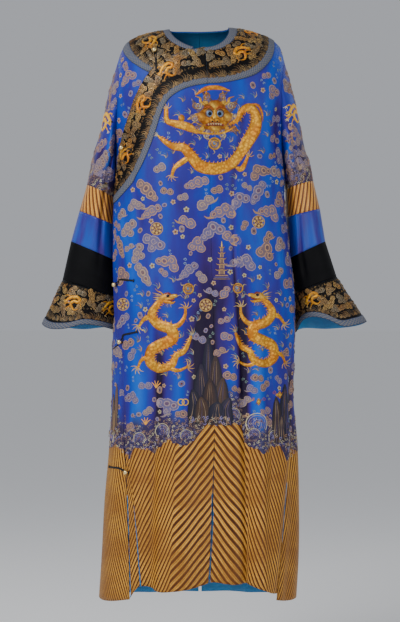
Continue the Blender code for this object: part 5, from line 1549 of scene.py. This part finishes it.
def pavilion(place):
    """A slim pavilion of five roofs on a stepped base."""
    for tier in range(5):
        foot, half = 0.0135 * tier, 0.0125 - 0.0018 * tier
        top = foot + 0.009
        stroke(place, [(0, foot), (0, top)], 1.25 * half, (0.2, 0.12, 0.09), PEACH, 0.001, sides=4)
        for side in (-1, 0, 1):
            x = 0.45 * half * side
            stroke(place, [(x, foot), (x, top)], 0.0012, PALE_GOLD)
        eave = [(-1.25 * half, foot + 0.012), (-0.8 * half, foot + 0.0092), (0, foot + 0.0104),
                (0.8 * half, foot + 0.0092), (1.25 * half, foot + 0.012)]
        stroke(place, eave, (0.0012, 0.0034, 0.0046, 0.0034, 0.0012), (0.5, 0.31, 0.13), WINE, 0.0018)
    stroke(place, [(0, 0.066), (0, 0.073), (0, 0.08)], (0.0044, 0.003, 0.0006), PALE_GOLD, None, 0.0016)
    for step in range(3):
        half = 0.015 + 0.0025 * step
        stroke(place, [(-half, -0.003 - 0.0042 * step), (half, -0.003 - 0.0042 * step)], 0.0032,
               (PEACH, GREY_VIOLET, (0.24, 0.15, 0.1))[step], None, 0.001)


def swell(place, radius):
    """A wave seen as rings rising out of the foam."""
    hues = (CREAM, LAVENDER, GREY_VIOLET, LAVENDER, PEACH)
    blob(place, (0, 0), 0.96 * radius, (0.03, 0.024, 0.15), (0.02, 0.012, 0.05), 0.0006, segments=20)
    for ring, hue in enumerate(hues):
        arc = round_path((0, 0), radius * (1 - ring / len(hues)), np.linspace(-0.6, pi + 0.6, 9))
        stroke(place, arc, 0.5 * radius / len(hues), hue, None, 0.0011, times=2)


def foam(place, number, size):
    """A curl of spray."""
    hues = ((0.62, 0.52, 0.36), LAVENDER, PEACH, (0.2, 0.12, 0.12), (0.34, 0.22, 0.17), CREAM, GREY_VIOLET,
            (0.52, 0.34, 0.16))
    curl(place, (0, 0), size, 0.4 * size, hues[number % 8], 0.9, 1.7 * number, 1 - 2 * (number % 2), steps=5)


def rock(place, slabs, hues):
    """A steep rock: rounded upright slabs one in front of another, each lined along its edge."""
    for number, (x, height, width) in enumerate(slabs):
        lean, rise = 0.1 * x, 0.0008 + 0.0003 * number
        path = [(x, 0.006 * sin(4.0 * number)), (x - lean, 0.55 * height), (x + lean, height)]
        shape = (0.6 * width, width, 1.05 * width, width, 0.86 * width, 0.6 * width, 0.16 * width)
        stroke(place, path, shape, hues[number % len(hues)], NIGHT, rise, times=6, sides=4, low=rise - 0.0005)
        for side in (-0.3, -0.04, 0.24):
            line = [(px + side * width * (1 - 0.8 * k / 2), 0.92 * py) for k, (px, py) in enumerate(path)]
            hue = ((0.22, 0.13, 0.07), (0.09, 0.06, 0.14), (0.3, 0.21, 0.13))[(number + int(8 * side)) % 3]
            stroke(place, line, (0.002, 0.0034, 0.001, 0.0026, 0.0006), hue, None, rise + 0.0004, times=5,
                   low=rise - 0.0003)
    for k in range(int(700 * max(slab[0] for slab in slabs)) + 8):
        spot = (1.1 * slabs[-2][2] * sin(2.4 * k), 0.016 * abs(sin(1.7 * k)) - 0.003)
        hue = ((0.5, 0.42, 0.3), LAVENDER, PEACH)[k % 3]
        curl(place, spot, 0.0042, 0.0017, hue, turns=0.9, start=1.7 * k, steps=5, low=0.0034)


def treasure(place, number):
    """A small lucky thing afloat on the waves: a coral branch, a scroll or a pair of rings."""
    if number % 3 == 0:
        for lean in (-0.7, -0.2, 0.35, 0.8):
            tip = (0.016 * sin(lean), 0.018 * cos(lean))
            stroke(place, [(0, 0), (0.5 * tip[0], 0.6 * tip[1]), tip], (0.0034, 0.0028, 0.0018), GOLD, ROSE)
    elif number % 3 == 1:
        blob(place, (0, 0), (0.013, 0.006, 0.01, 0.006) * 2, PALE_GOLD, DEEP_GOLD, 0.0016, segments=16)
        for x in (-0.004, 0.0, 0.004):
            stroke(place, [(x - 0.003, -0.006), (x + 0.003, 0.006)], 0.0013, DEEP_GOLD, None, 0.0022)
        for side in (-1, 1):
            curl(place, (side * 0.014, 0.006), 0.0045, 0.0016, ROSE, start=pi / 2, hand=side)
    else:
        for x in (-0.005, 0.005):
            ring = round_path((x, 0), 0.0075, np.linspace(0, 2 * pi, 11))
            stroke(place, ring, 0.003, PALE_GOLD, DEEP_GOLD, 0.0018, times=1)


MEDALLIONS = (
    (-0.104, -0.491, False), (0.1405, -0.474, False), (0.014, -0.674, False),
    (-0.186, -0.672, False),
    (-0.11, -0.5, True), (0.11, -0.5, True), (0.0, -0.64, True),
    (-0.175, -0.64, True), (0.175, -0.64, True), (-0.13, -0.18, True), (0.13, -0.18, True),
)
small_motifs = start_threads(bmesh.new())
for spot in MEDALLIONS:
    medallion(on_girth(*spot))
for spot in ((0.052, -0.6, False), (0.0, -0.56, True)):
    pavilion(on_girth(*spot))
for number, (x, z, back) in enumerate((
    (-0.105, -0.872, False), (0.14, -0.905, False), (-0.04, -0.905, False), (-0.13, -0.96, False),
    (0.192, -0.89, False), (-0.15, -0.9, True), (-0.06, -0.89, True), (0.06, -0.89, True),
    (0.15, -0.9, True),
)):
    treasure(on_girth(x, z, back), number)
remember()
gather(small_motifs)

DARK_ROCK = ((0.014, 0.012, 0.03), (0.042, 0.022, 0.02), (0.024, 0.017, 0.04), (0.06, 0.032, 0.022))
TAN_ROCK = ((0.2, 0.12, 0.06), (0.11, 0.06, 0.035), (0.28, 0.17, 0.085))
TALL_ROCK = ((-0.002, 0.205, 0.034), (0.014, 0.16, 0.042), (-0.018, 0.14, 0.044), (0.03, 0.108, 0.04),
             (-0.036, 0.08, 0.036), (0.002, 0.104, 0.042), (0.044, 0.06, 0.03), (-0.018, 0.062, 0.042),
             (0.02, 0.05, 0.042))
SIDE_ROCK = ((0.008, 0.135, 0.024), (-0.012, 0.105, 0.024), (0.0, 0.062, 0.022))
rock(on_girth(0.022, -0.955), TALL_ROCK, DARK_ROCK)
rock(on_girth(0.196, -1.0), SIDE_ROCK, DARK_ROCK)
rock(on_girth(0.0, -0.955, True), TALL_ROCK, DARK_ROCK)
for x in (-0.196, 0.196):
    rock(on_girth(x, -0.995, True), SIDE_ROCK, TAN_ROCK)
rock(on_body(-0.79, -0.985, size=0.9), SIDE_ROCK, TAN_ROCK)
remember()
gather(small_motifs)


def stripes_edge(u, z):
    """The level where the stripes begin, below the point of the body at u and z."""
    return float(straight(BACK_STRIPES if abs(u) > 1 else FRONT_STRIPES, "x", "z", float(body(u, z)[0])))


def near_edge(spot):
    return open_edges.find(spot)[2]


spray = np.random.default_rng(7)
waves, worked = start_threads(bmesh.new()), point_tree(worked_spots)
for row, (rise, radius) in enumerate(((0.066, 0.0235), (0.026, 0.0165))):
    for number, distance in enumerate(np.arange(-0.645 + 0.03 * row, 0.66, 0.066 - 0.008 * row)):
        u = u_at(distance, -0.95)
        z = stripes_edge(u, -0.95) + rise + 0.012 * sin(3.1 * number)
        place = on_body(u, z, size=1.0 + 0.15 * sin(2.3 * number))
        spot = on_place(place, 0, 0, 0)
        if near_edge(spot) > radius + 0.004 and (row or worked.find(spot)[2] > 0.02):
            swell(place, radius)
    gather(waves)
number = 0
for row in range(14):
    for distance in np.arange(-0.66 + 0.0036 * (row % 2), 0.66, 0.0072):
        u = u_at(distance + 0.0015 * spray.standard_normal(), -0.95)
        z = stripes_edge(u, -0.95) + 0.003 + 0.0064 * row + 0.0015 * spray.standard_normal()
        if row > 6 and spray.random() > 0.8 - 0.11 * (row - 6):
            continue
        place = on_body(u, z)
        if near_edge(on_place(place, 0, 0, 0)) > 0.0045:
            number += 1
            foam(place, number + row, 0.0032 + 0.0012 * spray.random())
    gather(waves)

# ----------------------------------------
# The clouds: curled clouds in grey, lavender and peach silk floss over the blue silk, with single
# curls between them and on the sleeves, where a small dragon and a band of spray are worked too
CLOUDS = (
    ((-12, -2, 8.5), (-3, 5, 10.0), (7, -1, 9.5), (15, -5, 6.5)),
    ((-11, 7, 8.5), (0, 1, 11.0), (9, -7, 9.0), (16, -12, 6.0)),
    ((-11, -7, 8.5), (-2, 1, 10.5), (8, 8, 9.0), (4, -8, 7.5)),
    ((-8, -5, 9.0), (8, -5, 8.5), (0, 5, 10.5)),
    ((-6, 0, 9.5), (7, 3, 8.5)),
)
CLOUD_HUES = (
    ((0.17, 0.135, 0.25), PEACH, WINE), ((0.21, 0.16, 0.22), (0.42, 0.29, 0.21), (0.14, 0.05, 0.03)),
    ((0.14, 0.12, 0.26), (0.34, 0.25, 0.28), WINE), ((0.19, 0.125, 0.15), PEACH, (0.05, 0.02, 0.05)),
)
GOLD_HUES = (
    ((0.16, 0.12, 0.075), (0.54, 0.4, 0.18), (0.03, 0.02, 0.01)),
    ((0.12, 0.11, 0.085), (0.42, 0.35, 0.22), (0.02, 0.02, 0.02)),
    ((0.22, 0.15, 0.06), (0.74, 0.53, 0.2), (0.08, 0.03, 0.01)),
)
OVAL = np.array((1.0, 0.9, 0.72, 0.88, 0.96, 0.9, 0.7, 0.88))


def lobe(place, middle, reach, hues):
    """A single small cloud: an oval of floss with a pale line round it and a darker heart."""
    fill, line, heart = hues
    for share, colour, low in ((1.0, line, BURIED), (0.76, fill, 0.0005), (0.3, heart, 0.001)):
        blob(place, middle, share * reach * OVAL, colour, colour, low + 0.0006, segments=10, low=low)


def cloud(place, number, hues, most=4):
    """Curls run together into one outline, some wound and some with a heart; some clouds trail a wisp."""
    fill, line, heart = hues
    inner = tuple(0.5 * (dark + pale) for dark, pale in zip(heart, fill))
    side = 1 if number % 2 else -1
    lobes = CLOUDS[(number * 7 // 3) % len(CLOUDS)][:most]
    if number % 3 == 0:
        x, y, radius = lobes[-1]
        wisp = ((x, y - 0.6 * radius), (x + 9, y - 6), (x + 15, y - 3))
        stroke(place, [(side * px / 1000, py / 1000) for px, py in wisp], (0.006, 0.004, 0.001), line)
    for share, colour, low in ((1.0, line, BURIED), (0.85, fill, 0.0004)):
        for x, y, radius in lobes:
            wide = [share * radius * part / 1000 for part in (1, 0.84, 1, 0.88, 1.04, 0.86, 0.98)]
            blob(place, (side * x / 1000, y / 1000), wide, colour, colour, low + 0.0007, segments=12, low=low)
    for k, (x, y, radius) in enumerate(lobes):
        middle, grown = (side * x / 1000, (y + 0.5) / 1000), radius / 1000 * OVAL
        if (k + number) % 5 < 3:
            reach = 0.58 * grown[0]
            curl(place, middle, reach, 0.0017, line, 1.25, number + k, side, line, steps=6, low=0.0009)
            continue
        blob(place, middle, 0.6 * grown, line, line, 0.0016, segments=9, turn=number, low=0.001)
        blob(place, middle, 0.36 * grown, inner, inner, 0.002, segments=8, turn=number, low=0.0016)


def trifle(place, number):
    """A small blossom or a knotted ribbon in pale floss."""
    pale = ((0.62, 0.4, 0.24), (0.3, 0.42, 0.62), (0.6, 0.52, 0.3), (0.24, 0.34, 0.3))[number // 2 % 4]
    if number % 2:
        for angle in np.arange(5) * 2 * pi / 5 + number:
            blob(place, toward((0, 0), 0.004, angle), 0.0029, pale, segments=6)
        blob(place, (0, 0), 0.002, DEEP_GOLD, None, 0.0016, segments=6, low=0.0004)
    else:
        for hand in (-1, 1):
            curl(place, (0.0042 * hand, 0.001 * hand), 0.004, 0.0016, pale, 1.1, hand * 1.2, hand, steps=5)


def strew(low, high, spacing):
    """Spots over a rectangle, none nearer another than the spacing."""
    source, found = np.random.default_rng(11), np.array([low])
    for spot in low + (high - low) * source.random((9000, 2)):
        if np.hypot(*(found - spot).T).min() > spacing:
            found = np.vstack([found, spot])
    return found[1:]


def band_places(points, tree, share, spacing, shift):
    """Even spots along a band, a share of the way across it, with the ways out and to its first edge."""
    at_row = share * (len(points) - 1)
    low = min(int(at_row), len(points) - 2)
    line = points[low] + (points[low + 1] - points[low]) * (at_row - low)
    run = distances(line)
    found = []
    for at in np.arange(spacing * (0.4 + shift), run[-1] - 0.2 * spacing, spacing):
        centre = Vector([float(np.interp(at, run, line[:, k])) for k in range(3)])
        column = int(np.interp(at, run, np.arange(len(run))))
        found.append((centre, tree.find_nearest(centre)[1], Vector(points[0, column] - points[-1, column])))
    return found


# Large clouds first, then small ones, then single motifs: their spacing, how far they keep from other
# work, their size, and how many curls a cloud may have
CLOUD_PASSES = ((0.046, 0.0195, 1.38, 4), (0.027, 0.013, 1.0, 2), (0.0165, 0.008, 0.0, 0))
clouds, number = start_threads(bmesh.new()), 0
for spacing, margin, size, most in CLOUD_PASSES:
    worked = point_tree(worked_spots)
    for distance, z in strew(np.array([-0.68, -0.985]), np.array([0.68, -0.015]), spacing):
        u = u_at(distance, z)
        spin = 0.5 * sin(1.9 * number) if size else 2.0 * sin(1.9 * number)
        place = on_body(u, z, spin, 1.0 + 0.14 * sin(2.7 * number))
        spot = on_place(place, 0, 0, 0)
        off_cloth = (spot - Vector(body(u, z))).length > 0.02 or z < stripes_edge(u, z) + 0.06
        if off_cloth or min(near_edge(spot), worked.find(spot)[2]) < margin:
            continue
        if collar_tree.find_nearest(spot)[3] < 1.1 * margin:
            continue
        number += 1
        if size:
            cloud(place._replace(size=size * place.size), number, CLOUD_HUES[number % 4], most)
        elif number % 3 == 0:
            lobe(place, (0, 0), 0.0056 + 0.0028 * abs(sin(number)), CLOUD_HUES[(number * 5) % 4])
        else:
            trifle(place, number // 3 + number)
        if number % 20 == 0:
            remember(2)
            gather(clouds)
    remember(2)
    gather(clouds)

SLEEVE_SIDES = (slice(0, 45), slice(52, None))  # either side of the seam under the arm
SLEEVE_CLOUD_ROWS = (0.09, 0.21, 0.33, 0.45, 0.57, 0.69, 0.8)
SLEEVE_SPRAY_ROWS = (0.86, 0.885, 0.91, 0.935, 0.96, 0.985)
for side in (-1, 1):
    points = sleeve_grid(side, np.linspace(0.0, 7.0, 57), armhole_loop(side))[0][4:]
    tree = sleeve_trees[side]
    for ring, turn, way in ((3.0, 0.9, -side), (3.6, 5.2, side)):
        centre = Vector(points[int((ring - 0.5) * 8), int(turn / (2 * pi) * SLEEVE_ANGLES)])
        out = tree.find_nearest(centre)[1]
        small_dragon(place_at(tree, centre, out, size=1.25, depth=0.03), way)
    remember()
    gather(small_motifs)
    worked = point_tree(worked_spots)
    for columns in SLEEVE_SIDES:
        for row, share in enumerate(SLEEVE_CLOUD_ROWS):
            for centre, out, up in band_places(points[:, columns], tree, share, 0.042, 0.5 * (row % 2)):
                number += 1
                if worked.find(centre)[2] > 0.013 and collar_tree.find_nearest(centre)[3] > 0.016:
                    place = place_at(tree, centre, out, up, 0.5 * sin(1.9 * number), 1.12, 0.02)
                    cloud(place, number, CLOUD_HUES[number % 4])
        gather(clouds)
        for row, share in enumerate(SLEEVE_SPRAY_ROWS):
            for centre, out, up in band_places(points[:, columns], tree, share, 0.009, 0.5 * (row % 2)):
                number += 1
                foam(place_at(tree, centre, out, up, depth=0.02), number, 0.0042)
        gather(waves)
for name, threads in (("waves", waves), ("clouds", clouds), ("small_motifs", small_motifs)):
    finish_piece(name, threads, (silk_floss,))

# ----------------------------------------
# The gold embroidery on the black silk of the collar, the overlap and the cuffs: curled clouds and
# small dragons in gold and tan floss over a border of long locks of spray
def lock(place, number):
    """Long locks of spray that fan out from the edge of a band."""
    lean, reach = 0.5 * sin(2.6 * number), 0.015 + 0.005 * sin(1.7 * number)
    hues = ((0.24, 0.18, 0.1), (0.5, 0.37, 0.17), (0.13, 0.12, 0.09), (0.32, 0.23, 0.11))
    for k in range(5):
        angle, length = pi / 2 + 0.34 * (k - 2) + lean, reach - 0.0014 * abs(k - 2)
        foot = (0.0011 * (2 - k), -0.007)
        path = [foot, toward(foot, 0.6 * length, angle), toward(foot, length, angle + 0.35)]
        stroke(place, path, (0.0026, 0.0024, 0.0008), hues[(k // 2 + number) % 4], (0.03, 0.015, 0.006))


# Rows across a band: the share of the way across, the spacing and the size; the third row is the locks
GOLD_ROWS = ((0.17, 0.025, 0.7), (0.5, 0.025, 0.7), (0.91, 0.012, 1.0), (0.72, 0.02, 0.58))
DEEP_BAND = 0.078  # the last row of clouds fills only the bands that are deeper than this
GOLD_REACH = 0.004 + FRONT_LIFT  # a drawing that would lie further than this from its spot is left out


def adorn(tree, points, dragons):
    """Fills a band of black silk whose grid of points runs from its inner edge to its outer edge."""
    count = 0
    for row, (share, spacing, size) in enumerate(GOLD_ROWS):
        for centre, out, up in band_places(points, tree, share, spacing, 0.5 * (row % 2)):
            if row == 3 and up.length < DEEP_BAND:
                continue
            count += 1
            place = place_at(tree, centre, out, up, size=min(max(up.length / 0.056, 0.55), 1.15), depth=0.02)
            if (on_place(place, 0, 0, 0) - centre).length > GOLD_REACH:
                continue
            if row == 2:
                lock(place, count)
            elif row == 1 and count % 9 in dragons:
                small_dragon(place._replace(size=0.85 * place.size), 1 - 2 * (count % 2))
            else:
                turned = place_at(tree, centre, out, up, 0.6 * sin(2.3 * count), size * place.size, 0.02)
                cloud(turned, count, GOLD_HUES[count % 3])
    for row, share in enumerate((0.03, 0.34, 0.66)):
        for centre, out, up in band_places(points, tree, share, 0.0085, 0.3 * row):
            count += 1
            place = place_at(tree, centre, out, up, depth=0.02)
            if (on_place(place, 0, 0, 0) - centre).length < GOLD_REACH:
                hue = ((0.38, 0.27, 0.11), (0.25, 0.19, 0.11), (0.68, 0.48, 0.18))[count % 3]
                curl(place, (0, 0), 0.003, 0.0013, hue, turns=0.9, start=1.7 * count, steps=5)


gold_work = start_threads(bmesh.new())
for name in ("front_left", "back_left", "back_right", "underlap", "front_overlap"):
    first = 0 if name == "front_overlap" else YOKE_TIMES
    u, z = (grid[first:4 * YOKE_TIMES + 1] for grid in fine_yokes[name])
    adorn(collar_tree, body(u, z), (3, 7))
    gather(gold_work)
for side in (-1, 1):
    points = sleeve_grid(side, np.linspace(CUFF_RING + 0.04, CUFF_RING + 0.96 - TRIM_SHARE, 20))[0]
    adorn(sleeve_trees[side], points, (1, 5))
    gather(gold_work)
finish_piece("gold_work", gold_work, (gold_floss,))

# ----------------------------------------
# The floor, the lights and the camera: a pale floor well below the hem, a large lamp from the upper
# left, a weaker one from the right and two faint ones from behind
FLOOR_Z = -1.6
stage = bmesh.new()
bmesh.ops.create_grid(stage, x_segments=40, y_segments=40, size=90)
for vert in stage.verts:
    vert.co.z = FLOOR_Z
floor = show("floor", finish_mesh("floor", stage))
floor_paint, _, surface = start_material("floor_paint", 1.0, gloss=0.0)
surface.inputs["Base Color"].default_value = (0.97, 0.97, 0.96, 1)
floor.data.materials.append(floor_paint)

world = bpy.data.worlds.new("studio")
world.use_nodes = True
sky = world.node_tree.nodes["Background"].inputs
sky["Color"].default_value, sky["Strength"].default_value = (0.9, 0.93, 1.0, 1), 0.45
bpy.context.scene.world = world

LAMPS = table(
    "name place target size power",
    ("key", (-1.9, -2.6, 1.2), (0, 0, -0.65), 1.4, 95),
    ("fill", (2.6, -2.6, -0.3), (0, 0, -0.75), 2.0, 30),
    ("rim_left", (-2.2, 1.8, 0.8), (0, 0, -0.6), 1.2, 7),
    ("rim_right", (2.2, 1.6, 0.9), (0, 0, -0.6), 1.2, 7),
)
for lamp in LAMPS:
    light = bpy.data.lights.new(lamp.name, "AREA")
    light.size = lamp.size
    light.energy = lamp.power
    shown = show(lamp.name, light)
    shown.location = lamp.place
    shown.rotation_euler = (Vector(lamp.target) - Vector(lamp.place)).to_track_quat("-Z", "Y").to_euler()

lens = bpy.data.cameras.new("camera")
lens.lens = 118
lens.sensor_width = 36
camera = show("camera", lens)
camera.location = (0.0, -5.0, -0.688)
camera.rotation_euler = (radians(90), 0, 0)
bpy.context.scene.camera = camera
